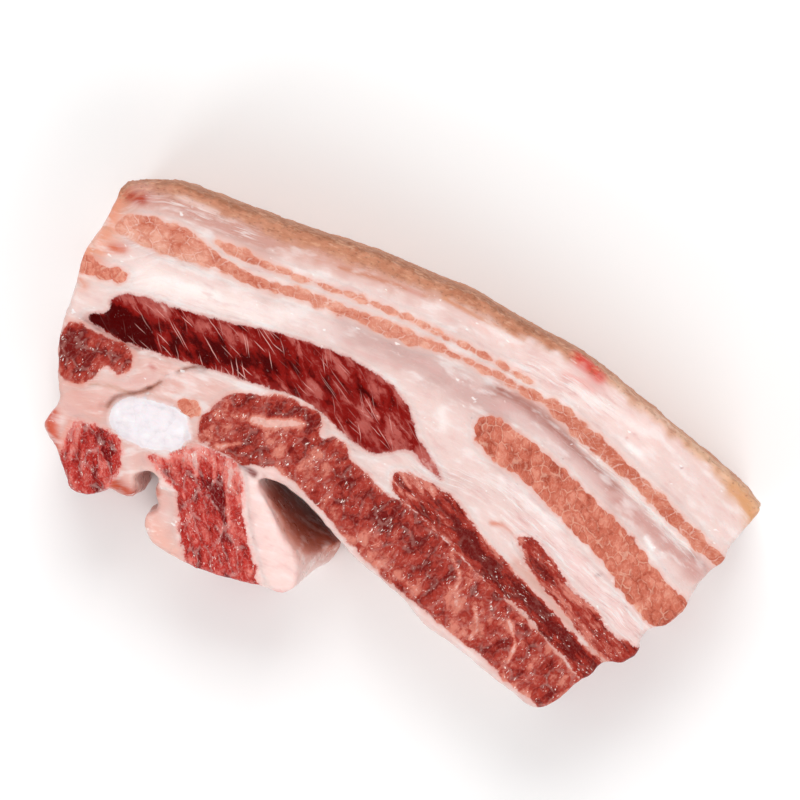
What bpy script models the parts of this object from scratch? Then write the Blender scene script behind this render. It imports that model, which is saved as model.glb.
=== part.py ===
"""A raw pork belly piece with its rind, lean layers, rib end and hanging flap, lying on its back cut.

Run it with: blender --background --python part.py

The piece is one block of fat and rind. Each muscle runs right through it from the upper cut face to the
lower one, so each is a plug in a pocket of the block. All outlines are drawn in millimetres on the upper
cut face: X runs along the rind and Y points towards it. Z is up, out of that face.
"""

import math
from dataclasses import dataclass

import bmesh
import bpy
import numpy as np
from mathutils import Vector
from mathutils.geometry import delaunay_2d_cdt

MM = 0.001
THICKNESS = 34.0  # between the two cut faces
CENTRE_SHIFT = (0.0, 1.5)  # from the drawing's datum to the middle of the piece
GAP = 0.3  # between a muscle and its pocket
EDGE_STEP = 3.4  # length of a side along the block's outline
CAP_STEP = 3.7  # distance between the points of a cut face
CUTTER_REACH = 4.0  # how far a cutter stands out of the block
MUSCLE_STEP = 2.9  # length of a side along a muscle's outline
DOME_WIDTH = 5.0  # from a muscle's edge to the full height of its dome

# The block's outline on the upper cut face, clockwise from the rind's left corner. The second pair of
# numbers, where there is one, is how far the same point stands out at the foot.
RIND_SIDE = [
    (-79.8, 25.6), (-78.4, 28.0), (-74.5, 30.2), (-68.3, 32.6), (-55.0, 34.1), (-40.0, 36.0), (-24.0, 38.6),
    (-8.0, 39.8), (2.0, 40.7), (12.0, 39.9), (27.0, 39.7), (36.0, 38.5), (48.0, 36.0), (62.0, 32.9),
    (74.5, 30.1), (80.2, 28.0),
]  # fmt: skip
CUT_END = [
    (81.0, 26.2), (79.9, 21.4), (79.0, 16.5), (79.2, 12.8), (77.3, 8.8), (76.3, 3.2), (76.5, -0.6),
    (74.6, -5.6), (71.5, -8.6), (70.8, -11.4), (71.5, -14.8), (69.2, -18.4), (65.6, -20.4), (64.6, -24.2),
    (62.4, -27.2), (60.9, -31.2), (59.0, -34.4), (56.0, -36.6),
]  # fmt: skip
RIB_SIDE = [
    (50.0, -35.6), (42.0, -34.1), (34.0, -32.2), (25.5, -31.0), (18.0, -27.9), (10.0, -26.1),
    (4.5, -24.8), (-1.0, -22.6), (-7.5, -19.9), (-13.0, -18.3), (-18.0, -17.6),
]  # fmt: skip
FLAP = [
    (-22.4, -18.9), (-19.6, -21.8, 6.0, 0.4), (-15.2, -25.0, 14.0, 0.2), (-12.0, -28.0, 12.8, 1.5),
    (-8.2, -30.4, 9.2, 0.8), (-5.6, -33.6, 5.8, 0.8), (-4.3, -37.0, 1.0, 0.5), (-6.2, -40.1), (-11.0, -40.6),
    (-17.0, -42.1), (-25.5, -43.6), (-33.0, -43.6), (-38.6, -42.6), (-41.8, -38.6), (-40.2, -35.6),
    (-42.6, -31.8), (-42.6, -29.4), (-45.2, -28.6),
]  # fmt: skip
TORN_END = [
    (-47.8, -30.8), (-45.9, -33.4), (-47.0, -36.2), (-51.6, -36.4), (-53.6, -38.6), (-56.2, -40.2),
    (-59.2, -40.4), (-62.0, -38.2), (-66.8, -33.6), (-71.6, -30.4), (-71.5, -27.2), (-71.0, -23.6),
    (-73.6, -19.2), (-77.2, -11.6, -0.9, 0.0), (-78.6, -4.0, -1.0, 0.0), (-79.6, 2.4, -0.9, 0.0),
    (-81.0, 8.4), (-80.2, 16.0),
]  # fmt: skip

# Where the skin-side fat ends, as y at each x.
LEDGE = ((-80, -20, 8, 22, 34, 46, 60, 80), (14.0, 22.4, 25.0, 25.0, 22.4, 19.2, 15.4, 10.2))

# The block's side, from the foot up: (how far it is set in, share of the height from foot to edge).
SIDE_PROFILE = [(1.1, 0.0), (0.1, 0.05), (-0.5, 0.38), (-0.2, 0.72), (0.2, 0.93), (0.6, 0.985)]
CAP_INSET = 1.5  # from the outline to the edge of the cut face


@dataclass(frozen=True)
class Muscle:
    """A plug of lean meat or gristle that runs through the block.

    outline is in millimetres on the upper cut face. lift is how far its face stands over the fat's, dome
    how much more it stands at its middle, and run how far the plug drifts on its way down to the foot.
    """

    outline: list
    lift: float
    dome: float
    run: tuple
    colour: tuple
    roughness: float = 0.35


def ellipse(centre, half_length, half_width, tilt_deg, squareness, count=14):
    """Points of an ellipse with slightly squared ends, clockwise."""
    tilt = math.radians(tilt_deg)
    points = []
    for i in range(count):
        angle = -2 * math.pi * i / count
        c, s = math.cos(angle), math.sin(angle)
        along = half_length * math.copysign(abs(c) ** squareness, c)
        across = half_width * math.copysign(abs(s) ** squareness, s)
        x = centre[0] + along * math.cos(tilt) - across * math.sin(tilt)
        y = centre[1] + along * math.sin(tilt) + across * math.cos(tilt)
        points.append((x, y))
    return points


def band(spine):
    """The outline of a thin layer, from (x, y, half width) along its middle."""
    upper, lower = [], []
    for i, (x, y, half) in enumerate(spine):
        before, after = spine[max(i - 1, 0)], spine[min(i + 1, len(spine) - 1)]
        along = Vector((after[0] - before[0], after[1] - before[1])).normalized()
        upper.append((x - along.y * half, y + along.x * half))
        lower.append((x + along.y * half, y - along.x * half))
    return upper + lower[::-1]


DARK_RED = (0.26, 0.02, 0.02, 1)
MID_RED = (0.4, 0.06, 0.05, 1)
PINK = (0.66, 0.24, 0.17, 1)
GRISTLE = (0.86, 0.84, 0.84, 1)

MUSCLES = {
    "dark_lean": Muscle(
        [
            (-74.0, -3.8), (-70.2, -0.6), (-70.4, 2.8), (-65.5, 5.8), (-55.0, 7.4), (-45.0, 9.8), (-35.0, 12.3),
            (-25.0, 14.2), (-15.0, 15.1), (-5.5, 13.8), (0.5, 10.8), (5.0, 6.4), (10.0, 3.5), (14.0, 0.3),
            (9.0, 1.4), (4.2, 2.8), (-2.0, -1.4), (-9.0, -1.0), (-16.0, 0.9), (-23.0, 2.1), (-33.0, 0.4),
            (-44.0, -1.6), (-56.0, -3.9), (-66.0, -5.0),
        ],
        -1.5, 0.5, (1.6, 0.8), DARK_RED,
    ),
    "pink_lean": Muscle(
        [
            (15.0, 14.4), (17.2, 18.0), (23.0, 18.1), (32.0, 16.4), (40.0, 14.2), (50.0, 11.0), (60.0, 7.6),
            (68.0, 3.8), (76.0, 1.0), (79.5, -1.5), (76.5, -8.0), (71.5, -7.6), (63.0, -4.4), (56.0, -0.8),
            (48.0, 2.4), (41.0, 5.0), (33.0, 7.4), (26.0, 9.0), (18.5, 10.6),
        ],
        0.2, 0.4, (-2.5, 1.0), PINK,
    ),
    "narrow_lean": Muscle(
        [
            (35.0, -3.7), (39.0, -2.4), (45.0, -4.7), (51.0, -8.2), (58.0, -10.0), (64.0, -13.4), (70.5, -13.2),
            (74.5, -15.0), (71.5, -19.5), (64.5, -18.9), (57.0, -15.7), (49.0, -12.0), (41.0, -8.6),
            (38.8, -6.4),
        ],
        -0.5, 0.4, (1.5, 0.8), MID_RED,
    ),
    "middle_lean": Muscle(
        [
            (3.6, -4.0), (6.0, -2.0), (12.5, -1.5), (18.5, -2.2), (22.0, -3.8), (26.5, -6.5), (31.8, -8.8),
            (40.0, -11.8), (48.8, -14.7), (57.6, -17.9), (66.0, -20.2), (69.0, -24.2), (63.4, -25.4),
            (60.0, -23.9), (51.2, -20.4), (43.0, -17.3), (36.0, -15.9), (28.2, -13.2), (19.4, -10.5),
            (12.0, -8.2), (7.0, -7.2),
        ],
        -0.6, 0.3, (1.8, 0.9), MID_RED,
    ),
    "rib_side_lean": Muscle(
        [
            (-40.2, -12.5), (-39.2, -8.4), (-36.8, -4.2), (-31.6, -1.6), (-26.0, 0.7), (-20.5, 1.3),
            (-16.0, 0.4), (-14.6, -3.9), (-12.0, -2.6), (-9.0, -2.6), (-5.6, -5.0), (0.0, -6.6), (5.0, -9.0),
            (8.8, -8.6), (16.5, -10.8), (23.5, -13.0), (31.8, -15.8), (38.0, -17.4), (45.9, -19.7),
            (55.3, -23.4), (63.5, -26.8), (65.0, -31.5), (60.0, -36.2), (54.5, -34.9), (47.5, -33.6),
            (40.0, -31.2), (30.0, -29.3), (20.0, -27.2), (10.0, -24.9), (2.0, -21.9), (-6.0, -18.9),
            (-13.0, -16.6), (-20.0, -14.8), (-26.0, -16.8), (-33.0, -16.6), (-39.0, -16.2),
        ],
        0.3, 0.6, (0.0, 0.5), MID_RED,
    ),
    "flap_lean": Muscle(
        [
            (-47.6, -25.4), (-43.0, -23.4), (-40.2, -19.4), (-36.0, -18.4), (-28.0, -18.4), (-24.6, -21.6),
            (-21.0, -27.0), (-16.6, -32.6), (-11.2, -38.6), (-11.2, -43.0), (-25.0, -46.5), (-30.6, -41.6),
            (-35.0, -35.4), (-38.2, -30.0), (-43.0, -27.4),
        ],
        -0.4, 0.6, (3.0, 1.5), DARK_RED,
    ),
    "torn_end_lean": Muscle(
        [
            (-65.8, -28.6), (-64.6, -25.4), (-56.0, -24.6), (-52.6, -27.4), (-51.8, -33.4), (-53.6, -42.5),
            (-62.5, -42.5), (-65.2, -33.8),
        ],
        0.1, 0.8, (0.5, 0.5), MID_RED,
    ),
    "corner_lean": Muscle(
        [
            (-76.6, -6.2), (-70.0, -5.7), (-61.4, -5.9), (-59.8, -9.0), (-61.4, -12.2), (-65.4, -11.6),
            (-66.2, -16.2), (-70.6, -18.8), (-74.2, -17.6), (-76.8, -11.0),
        ],
        -0.2, 0.5, (0.6, -0.6), MID_RED,
    ),
    "skin_side_lean_inner": Muscle(
        band(
            [
                (-76.5, 18.0, 1.6), (-71.0, 19.6, 3.0), (-66.0, 20.2, 3.6), (-59.5, 20.8, 3.0),
                (-55.0, 20.7, 2.2), (-51.0, 20.5, 1.7), (-45.0, 20.7, 1.5), (-39.0, 21.4, 1.6),
                (-33.0, 22.9, 1.5), (-26.0, 23.5, 1.4), (-19.0, 24.5, 1.4), (-12.0, 25.1, 1.8),
                (-5.0, 25.7, 1.6), (1.0, 26.5, 1.0), (13.0, 26.7, 1.0), (24.5, 26.4, 1.1), (30.0, 26.2, 1.7),
                (37.0, 24.4, 1.9), (43.0, 23.0, 2.1), (48.0, 21.6, 1.9), (53.0, 20.3, 1.5), (59.0, 18.5, 1.7),
                (65.0, 16.3, 1.7), (71.0, 14.3, 1.9), (77.0, 13.0, 1.6), (83.0, 11.8, 1.6),
            ]
        ),
        0.2, 0.0, (0.0, -0.8), PINK,
    ),
    "skin_side_lean_outer": Muscle(
        band(
            [
                (-55.5, 24.8, 0.7), (-52.0, 24.6, 1.3), (-46.0, 25.1, 1.2), (-40.0, 25.5, 1.0),
                (-33.5, 26.3, 0.9), (-28.0, 27.1, 0.7), (-19.0, 28.3, 0.8), (-12.0, 28.9, 0.8),
                (-5.0, 29.3, 0.7), (13.0, 29.2, 0.7), (22.0, 29.0, 0.6),
            ]
        ),
        0.2, 0.0, (0.0, -0.8), PINK,
    ),
    "rib_lean": Muscle(
        [(-47.0, -11.5), (-44.4, -9.9), (-41.9, -10.3), (-41.7, -12.2), (-43.8, -12.6), (-45.8, -12.2)],
        -0.3, 0.3, (0.3, 0.3), PINK,
    ),
    "edge_lean": Muscle(
        [
            (-83.0, 8.6), (-76.0, 8.6), (-71.8, 9.8), (-69.2, 8.6), (-70.4, 6.6), (-73.6, 5.4),
            (-77.0, 4.8), (-83.0, 4.4),
        ],
        0.0, 0.2, (0.5, 0.5), PINK,
    ),
    "rib_end": Muscle(ellipse((-50.2, -18.9), 9.2, 5.3, 9.0, 0.88), 0.7, 0.9, (1.0, 0.0), GRISTLE, 0.5),
}  # fmt: skip


def rounded(points, step):
    """A smooth closed curve through the points, cut into sides of about one step.

    The points may carry more numbers than x and y, which are carried along.
    """
    p = np.array(points, float)
    before, after, later = np.roll(p, 1, 0), np.roll(p, -1, 0), np.roll(p, -2, 0)
    t = np.linspace(0, 1, 12, endpoint=False)[:, None, None]
    curve = 0.5 * (
        2 * p
        + (after - before) * t
        + (2 * before - 5 * p + 4 * after - later) * t**2
        + (3 * p - before - 3 * after + later) * t**3
    )
    curve = curve.transpose(1, 0, 2).reshape(-1, p.shape[1])
    curve = np.vstack([curve, curve[:1]])
    length = np.concatenate([[0], np.cumsum(np.linalg.norm(np.diff(curve[:, :2], axis=0), axis=1))])
    at = np.linspace(0, length[-1], max(8, round(length[-1] / step)), endpoint=False)
    return np.stack([np.interp(at, length, column) for column in curve.T], 1)


def outward(loop):
    """The unit normal at each point of a clockwise loop, away from its inside."""
    along = np.roll(loop, -1, 0)[:, :2] - np.roll(loop, 1, 0)[:, :2]
    along /= np.linalg.norm(along, axis=1)[:, None]
    return np.stack([-along[:, 1], along[:, 0]], 1)


def depth_inside(points, loop):
    """How far each point lies inside the loop, and less than 0 outside."""
    start, side = loop[:, :2], np.roll(loop[:, :2], -1, 0) - loop[:, :2]
    away = points[:, None] - start
    share = ((away * side).sum(2) / (side**2).sum(1)).clip(0, 1)
    distance = np.linalg.norm(away - share[..., None] * side, axis=2).min(1)
    end = start + side
    spans = (start[:, 1] > points[:, None, 1]) != (end[:, 1] > points[:, None, 1])
    slope = side[:, 0] / np.where(side[:, 1] == 0, 1e-9, side[:, 1])
    crossing = start[:, 0] + (points[:, None, 1] - start[:, 1]) * slope
    inside = (spans & (points[:, None, 0] < crossing)).sum(1) % 2 == 1
    return np.where(inside, distance, -distance)


def smoothstep(value):
    t = np.clip(value, 0, 1)
    return t * t * (3 - 2 * t)


def face_height(xy):
    """Height of the fat on the upper cut face, in millimetres over the foot, at each point."""
    x, y = xy[:, 0], xy[:, 1]
    rise = 0.5 * np.sin(x / 17.0 + 0.6) * np.cos(y / 13.0) + 0.3 * np.sin(x / 7.0 - y / 9.0)
    ledge_y = np.interp(x, *LEDGE)  # the skin-side fat stands over the fat below it
    below = ledge_y - y
    ledge = -1.2 * smoothstep(below / 1.5) * smoothstep(1 - below / 13.0) * smoothstep((x + 30) / 40)
    flap = -3.2 * smoothstep((-22.0 - y) / 14.0) * smoothstep((x + 46.0) / 6.0) * smoothstep((2.0 - x) / 6.0)
    gristle = -1.2 * np.exp(-(((x + 54.0) / 9.0) ** 2) - ((y + 9.5) / 4.0) ** 2)
    return THICKNESS + rise + ledge + flap + gristle


def cap(loop, step):
    """Triangles that fill a loop, with points a step apart inside it: (xy, triangles)."""
    low, high = loop[:, :2].min(0), loop[:, :2].max(0)
    rows = np.arange(low[1], high[1], step * math.sqrt(3) / 2)
    inner = [
        (x + (step / 2 if j % 2 else 0), y)
        for j, y in enumerate(rows)
        for x in np.arange(low[0], high[0], step)
    ]
    inner = np.array(inner)
    inner = inner[depth_inside(inner, loop) > 0.62 * step]
    count = len(loop)
    found = delaunay_2d_cdt(
        [Vector(p) for p in np.vstack([loop[:, :2], inner])],
        [(i, (i + 1) % count) for i in range(count)],
        [],
        1,
        1e-6,
    )
    return np.array([tuple(v) for v in found[0]]), [tuple(face) for face in found[2]]


def make_object(name, points, faces, colour=None, roughness=0.4):
    """An object of that name from points in millimetres, its faces turned outwards."""
    mesh = bpy.data.meshes.new(name)
    shifted = np.asarray(points, float) + (*CENTRE_SHIFT, 0.0)
    mesh.from_pydata((shifted * MM).tolist(), [], faces)
    shaper = bmesh.new()
    shaper.from_mesh(mesh)
    bmesh.ops.triangulate(shaper, faces=[f for f in shaper.faces if len(f.verts) > 4])
    bmesh.ops.recalc_face_normals(shaper, faces=shaper.faces)
    shaper.to_mesh(mesh)
    shaper.free()
    obj = bpy.data.objects.new(name, mesh)
    bpy.context.scene.collection.objects.link(obj)
    if colour:
        mesh.materials.append(finish(name, colour, roughness))
    return obj


def finish(name, colour, roughness):
    """A plain wet-meat material."""
    material = bpy.data.materials.new(name)
    material.use_nodes = True
    shader = material.node_tree.nodes["Principled BSDF"]
    shader.inputs["Base Color"].default_value = colour
    shader.inputs["Roughness"].default_value = roughness
    shader.inputs["Metallic"].default_value = 0.0
    return material


def stacked(rings, top_cap):
    """Points and faces of a solid whose side is a stack of equal rings, closed by a flat foot and a cap.

    top_cap is (points, triangles); its first points are the ring above the last one.
    """
    count = len(rings[0])
    cap_points, cap_faces = top_cap
    points = np.vstack([*rings, cap_points])
    faces = [tuple(range(count))]
    for level in range(len(rings)):
        low, high = level * count, (level + 1) * count
        for i in range(count):
            j = (i + 1) % count
            faces.append((low + i, low + j, high + j, high + i))
    base = len(rings) * count
    faces += [tuple(base + i for i in face) for face in cap_faces]
    return points, faces


def block_loop():
    """The block's outline with the foot's shift beside each point."""
    drawn = [p if len(p) == 4 else (*p, 0.0, 0.0) for p in RIND_SIDE + CUT_END + RIB_SIDE + FLAP + TORN_END]
    return rounded(drawn, EDGE_STEP)


def make_block(name, height, top=None, colour=None):
    """The whole piece as one solid. With top, its upper face is flat at that height."""
    loop = block_loop()
    normal = outward(loop)
    edge = loop[:, :2] - normal * CAP_INSET
    rings = []
    for inset, share in SIDE_PROFILE:
        foot = loop[:, :2] + loop[:, 2:] * (1 - share)
        ring = foot - normal * inset
        level = height(edge) * share if top is None else np.full(len(ring), top * share)
        rings.append(np.column_stack([ring, level]))
    xy, faces = cap(edge, CAP_STEP)
    level = height(xy) if top is None else np.full(len(xy), top)
    points, faces = stacked(rings, (np.column_stack([xy, level]), faces))
    return make_object(name, points, faces, colour)


def plug(name, muscle, grow, foot, top):
    """A muscle's plug, grown by some millimetres, from height foot to its own face or to height top."""
    loop = rounded(muscle.outline, MUSCLE_STEP)
    loop = loop[:, :2] + outward(loop) * grow
    xy, faces = cap(loop, CAP_STEP if top is None else 1e3)
    if top is None:
        bulge = smoothstep(depth_inside(xy, loop) / DOME_WIDTH)
        level = face_height(xy) + muscle.lift + muscle.dome * bulge
    else:
        level = np.full(len(xy), top)
    drifted = [
        np.column_stack([at + np.outer(1 - z / THICKNESS, muscle.run), z])
        for at, z in ((loop, np.full(len(loop), foot)), (xy, level))
    ]
    points, faces = stacked(drifted[:1], (drifted[1], faces))
    return make_object(name, points, faces, muscle.colour, muscle.roughness)


def cut(obj, others, operation):
    """Cuts obj with the other objects, or keeps what it shares with them, and removes them."""
    helpers = bpy.data.collections.new("helpers")
    for other in others:
        helpers.objects.link(other)
    modifier = obj.modifiers.new("cut", "BOOLEAN")
    modifier.operation = operation
    modifier.solver = "EXACT"
    modifier.operand_type = "COLLECTION"
    modifier.collection = helpers
    graph = bpy.context.evaluated_depsgraph_get()
    made = bpy.data.meshes.new_from_object(obj.evaluated_get(graph))
    obj.modifiers.clear()
    obj.data = made
    for other in others:
        bpy.data.objects.remove(other)
    bpy.data.collections.remove(helpers)


def tidy(obj):
    """Joins points that a cut left almost in one place, and shades the object smooth but for its edges."""
    shaper = bmesh.new()
    shaper.from_mesh(obj.data)
    bmesh.ops.remove_doubles(shaper, verts=shaper.verts, dist=0.02 * MM)
    bmesh.ops.dissolve_degenerate(shaper, edges=shaper.edges, dist=0.01 * MM)
    bmesh.ops.triangulate(shaper, faces=[f for f in shaper.faces if len(f.verts) > 3])
    shaper.to_mesh(obj.data)
    shaper.free()
    obj.data.shade_smooth()
    obj.data.set_sharp_from_angle(angle=math.radians(40))


def main():
    for obj in list(bpy.data.objects):
        bpy.data.objects.remove(obj)

    body = make_block("fat_and_rind", face_height, colour=(0.85, 0.66, 0.6, 1))
    pockets = [
        plug(f"pocket_{name}", muscle, GAP / 2, -CUTTER_REACH, THICKNESS + CUTTER_REACH)
        for name, muscle in MUSCLES.items()
    ]
    cut(body, pockets, "DIFFERENCE")
    tidy(body)

    for name, muscle in MUSCLES.items():
        piece = plug(name, muscle, -GAP / 2, 0.0, None)
        trimmer = make_block("trimmer", face_height, top=THICKNESS + CUTTER_REACH)
        cut(piece, [trimmer], "INTERSECT")
        tidy(piece)


main()
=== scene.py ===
"""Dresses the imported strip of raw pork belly, with one finished and closed piece for each of its nodes.

The pieces are drawn in millimetres on the upper cut face: x runs along the rind, y points towards it and z
is up, out of that face. The whole surface is worked out on one grid of points, where each point is outside,
fat, or a layer of lean. The faces between unlike points are the pieces' skins, so neighbours share them.
"""

from __future__ import annotations

import logging
import math
from dataclasses import dataclass
from enum import Enum

import bpy
import numpy as np
from mathutils import Matrix, Vector


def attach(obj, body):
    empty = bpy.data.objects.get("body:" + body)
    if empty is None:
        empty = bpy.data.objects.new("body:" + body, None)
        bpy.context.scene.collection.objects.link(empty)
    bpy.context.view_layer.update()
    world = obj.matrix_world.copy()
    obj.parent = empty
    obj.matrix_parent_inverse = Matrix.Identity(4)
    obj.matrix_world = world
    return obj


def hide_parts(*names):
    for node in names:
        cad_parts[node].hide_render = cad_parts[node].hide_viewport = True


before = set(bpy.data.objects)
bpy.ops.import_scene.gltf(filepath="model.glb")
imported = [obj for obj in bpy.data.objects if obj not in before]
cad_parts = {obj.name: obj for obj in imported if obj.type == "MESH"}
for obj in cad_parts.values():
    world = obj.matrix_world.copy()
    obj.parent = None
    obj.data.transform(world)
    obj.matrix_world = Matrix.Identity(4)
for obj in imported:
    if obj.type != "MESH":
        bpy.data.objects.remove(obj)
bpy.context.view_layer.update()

Array = np.ndarray
Points = list[tuple[float, ...]]
Colour = tuple[float, float, float]

MM = 0.001
THICKNESS = 34.0  # between the cut faces
CENTRE_SHIFT = (0.0, 1.5)  # from the drawing's datum to the middle of the piece
GRID_STEP = 0.5
FAR = 9.0  # a depth this far outside an outline isn't worked out further
STRAIGHT = 30.0  # the layers run straight up from this height, and drift below it
RIM = 1.2  # how far a layer's piece reaches past its outline, for its scalloped and frayed edge
UPPER = (22.0, 28.0)  # heights between which the small detail of the sides sets in
CURVE_PARTS = 12  # parts into which a side is cut before a curve is measured
CHUNK = 8000  # points whose distances are worked out together
TABLE = 32  # size of the table of random numbers behind the noise
LOWER, HIGHER = slice(None, -1), slice(1, None)  # a grid without its last row, and without its first
CORNERS = ((0, 0), (1, 0), (1, 1), (0, 1))  # of a square, in order

log = logging.getLogger("pork_belly")


def linear(red: int, green: int, blue: int) -> Colour:
    """The linear colour of an sRGB colour given as three numbers from 0 to 255."""
    shares = [c / 255 for c in (red, green, blue)]
    return tuple(c / 12.92 if c <= 0.04 else ((c + 0.055) / 1.055) ** 2.4 for c in shares)


def smoothstep(value: Array, low: float = 0.0, high: float = 1.0) -> Array:
    """A smooth ramp from 0 at low to 1 at high."""
    t = np.clip((value - low) / (high - low), 0, 1)
    return t * t * (3 - 2 * t)


def rounded(points: Points, step: float, closed: bool = True) -> Array:
    """A smooth curve through the points, cut into sides of about one step.

    Args:
        points: x and y of each point, and any further numbers that are carried along.
        step: length of a side, in millimetres.
        closed: whether the curve ends where it starts.

    Returns:
        One row for each point of the curve.
    """
    p = np.array(points, float)
    if not closed:
        p = np.vstack([2 * p[0] - p[1], p, 2 * p[-1] - p[-2]])
    before, after, later = np.roll(p, 1, 0), np.roll(p, -1, 0), np.roll(p, -2, 0)
    t = np.linspace(0, 1, CURVE_PARTS, endpoint=False)[:, None, None]
    curve = 0.5 * (
        2 * p
        + (after - before) * t
        + (2 * before - 5 * p + 4 * after - later) * t**2
        + (3 * p - before - 3 * after + later) * t**3
    )
    curve = curve.transpose(1, 0, 2)
    if closed:
        curve = curve.reshape(-1, p.shape[1])
        curve = np.vstack([curve, curve[:1]])
    else:
        curve = np.vstack([curve[1:-2].reshape(-1, p.shape[1]), p[-2:-1]])
    length = np.concatenate([[0], np.cumsum(np.linalg.norm(np.diff(curve[:, :2], axis=0), axis=1))])
    at = np.linspace(0, length[-1], max(8, round(length[-1] / step)), endpoint=not closed)
    return np.stack([np.interp(at, length, column) for column in curve.T], 1)


def band(spine: Points) -> Points:
    """The outline of a thin layer.

    Args:
        spine: x, y and half the layer's width at points along its middle.

    Returns:
        The points of one side, and back along the other.
    """
    upper, lower = [], []
    for i, (x, y, half) in enumerate(spine):
        before, after = spine[max(i - 1, 0)], spine[min(i + 1, len(spine) - 1)]
        along = Vector((after[0] - before[0], after[1] - before[1])).normalized()
        upper.append((x - along.y * half, y + along.x * half))
        lower.append((x + along.y * half, y - along.x * half))
    return upper + lower[::-1]


def ellipse(
    centre: tuple[float, float], half_length: float, half_width: float, tilt_deg: float, squareness: float
) -> Points:
    """An ellipse with slightly squared ends.

    Args:
        centre: its middle.
        half_length: from the middle to an end.
        half_width: from the middle to a side.
        tilt_deg: direction of its length.
        squareness: 1 for a true ellipse, and less for squarer ends.

    Returns:
        Fourteen points, clockwise.
    """
    tilt, points, count = math.radians(tilt_deg), [], 14
    for i in range(count):
        angle = -2 * math.pi * i / count
        c, s = math.cos(angle), math.sin(angle)
        along = half_length * math.copysign(abs(c) ** squareness, c)
        across = half_width * math.copysign(abs(s) ** squareness, s)
        x = centre[0] + along * math.cos(tilt) - across * math.sin(tilt)
        y = centre[1] + along * math.sin(tilt) + across * math.cos(tilt)
        points.append((x, y))
    return points


def distance_to(x: Array, y: Array, line: Array, closed: bool) -> Array:
    """Distance from each point to a line.

    Args:
        x: first coordinate of each point.
        y: second coordinate of each point.
        line: the line's points, one row each.
        closed: whether the line ends where it starts.

    Returns:
        One distance for each point.
    """
    start = line[:, :2] if closed else line[:-1, :2]
    side = (np.roll(line[:, :2], -1, 0) if closed else line[1:, :2]) - start[: len(line)]
    points, found = np.stack([x.ravel(), y.ravel()], 1), np.empty(x.size)
    for i in range(0, len(points), CHUNK):
        away = points[i : i + CHUNK, None] - start
        share = ((away * side).sum(2) / np.maximum((side**2).sum(1), 1e-9)).clip(0, 1)
        found[i : i + CHUNK] = np.linalg.norm(away - share[..., None] * side, axis=2).min(1)
    return found.reshape(x.shape)


def is_inside(x: Array, y: Array, loop: Array) -> Array:
    """Whether each point lies inside a loop: whether a ray from it crosses an odd number of sides.

    Args:
        x: first coordinate of each point.
        y: second coordinate of each point.
        loop: the loop's points, one row each.

    Returns:
        True or False for each point.
    """
    inside = np.zeros(x.shape, bool)
    for (x0, y0), (x1, y1) in zip(loop[:, :2], np.roll(loop[:, :2], -1, 0)):
        if y0 == y1:
            continue
        inside ^= ((y0 > y) != (y1 > y)) & (x < x0 + (y - y0) * (x1 - x0) / (y1 - y0))
    return inside


def depth_inside(x: Array, y: Array, loop: Array) -> Array:
    """How far each point lies inside a loop.

    Args:
        x: first coordinate of each point.
        y: second coordinate of each point.
        loop: the loop's points, one row each.

    Returns:
        The distance from the loop, less than 0 outside it, and -FAR far from it.
    """
    depth = np.full(x.shape, -FAR)
    low, high = loop[:, :2].min(0) - FAR, loop[:, :2].max(0) + FAR
    near = (x > low[0]) & (x < high[0]) & (y > low[1]) & (y < high[1])
    distance = distance_to(x[near], y[near], loop, True)
    depth[near] = np.where(is_inside(x[near], y[near], loop), distance, -distance)
    return np.maximum(depth, -FAR)


def soft_noise(x: Array, y: Array, z: Array | float, size: float, seed: int) -> Array:
    """Smooth noise in space.

    Args:
        x: first coordinate of each point.
        y: second coordinate of each point.
        z: height of each point, or of all of them.
        size: width of a lump.
        seed: seed of the noise.

    Returns:
        A number between -1 and 1 for each point.
    """
    table = np.random.default_rng(seed).uniform(-1, 1, (TABLE,) * 3).astype(np.float32)
    total, bases, parts = 0.0, [], []
    for value in np.broadcast_arrays(x / size, y / size, z / size):
        base = np.floor(value).astype(int)
        bases.append(base)
        parts.append(smoothstep(value - base))
    for corner in np.ndindex(2, 2, 2):
        weight = 1.0
        for part, at in zip(parts, corner):
            weight = weight * (part if at else 1 - part)
        i, j, k = [(base + at) % TABLE for base, at in zip(bases, corner)]
        total = total + weight * table[i, j, k]
    return total


def cells(x: Array, y: Array, size: float, seed: int, stretch: float = 1.0, angle_deg: float = 0.0) -> Array:
    """Rounded cells in the plane, like the cut ends of bundles of fibres.

    Args:
        x: first coordinate of each point.
        y: second coordinate of each point.
        size: width of a cell across its longer side.
        seed: seed of the cells' places.
        stretch: length of a cell over its width.
        angle_deg: direction of the longer side.

    Returns:
        For each point 0 on the line between two cells, and up to about 1 in a cell's middle.
    """
    count = 2 * TABLE
    table = np.random.default_rng(seed).uniform(0.1, 0.9, (count, count, 2))
    c, s = math.cos(math.radians(angle_deg)), math.sin(math.radians(angle_deg))
    u, v = (x * c + y * s) / (size * stretch), (y * c - x * s) / size
    iu, iv = np.floor(u).astype(int), np.floor(v).astype(int)
    first, second = np.full(x.shape, FAR), np.full(x.shape, FAR)
    for du, dv in np.ndindex(3, 3):
        du, dv = du - 1, dv - 1
        offset = table[(iu + du) % count, (iv + dv) % count]
        distance = np.hypot(iu + du + offset[..., 0] - u, iv + dv + offset[..., 1] - v)
        second = np.minimum(second, np.maximum(first, distance))
        first = np.minimum(first, distance)
    return np.clip((second - first) / 0.7, 0, 1)


# ---------------------------------------------------------------------------------------------- drawing

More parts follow.
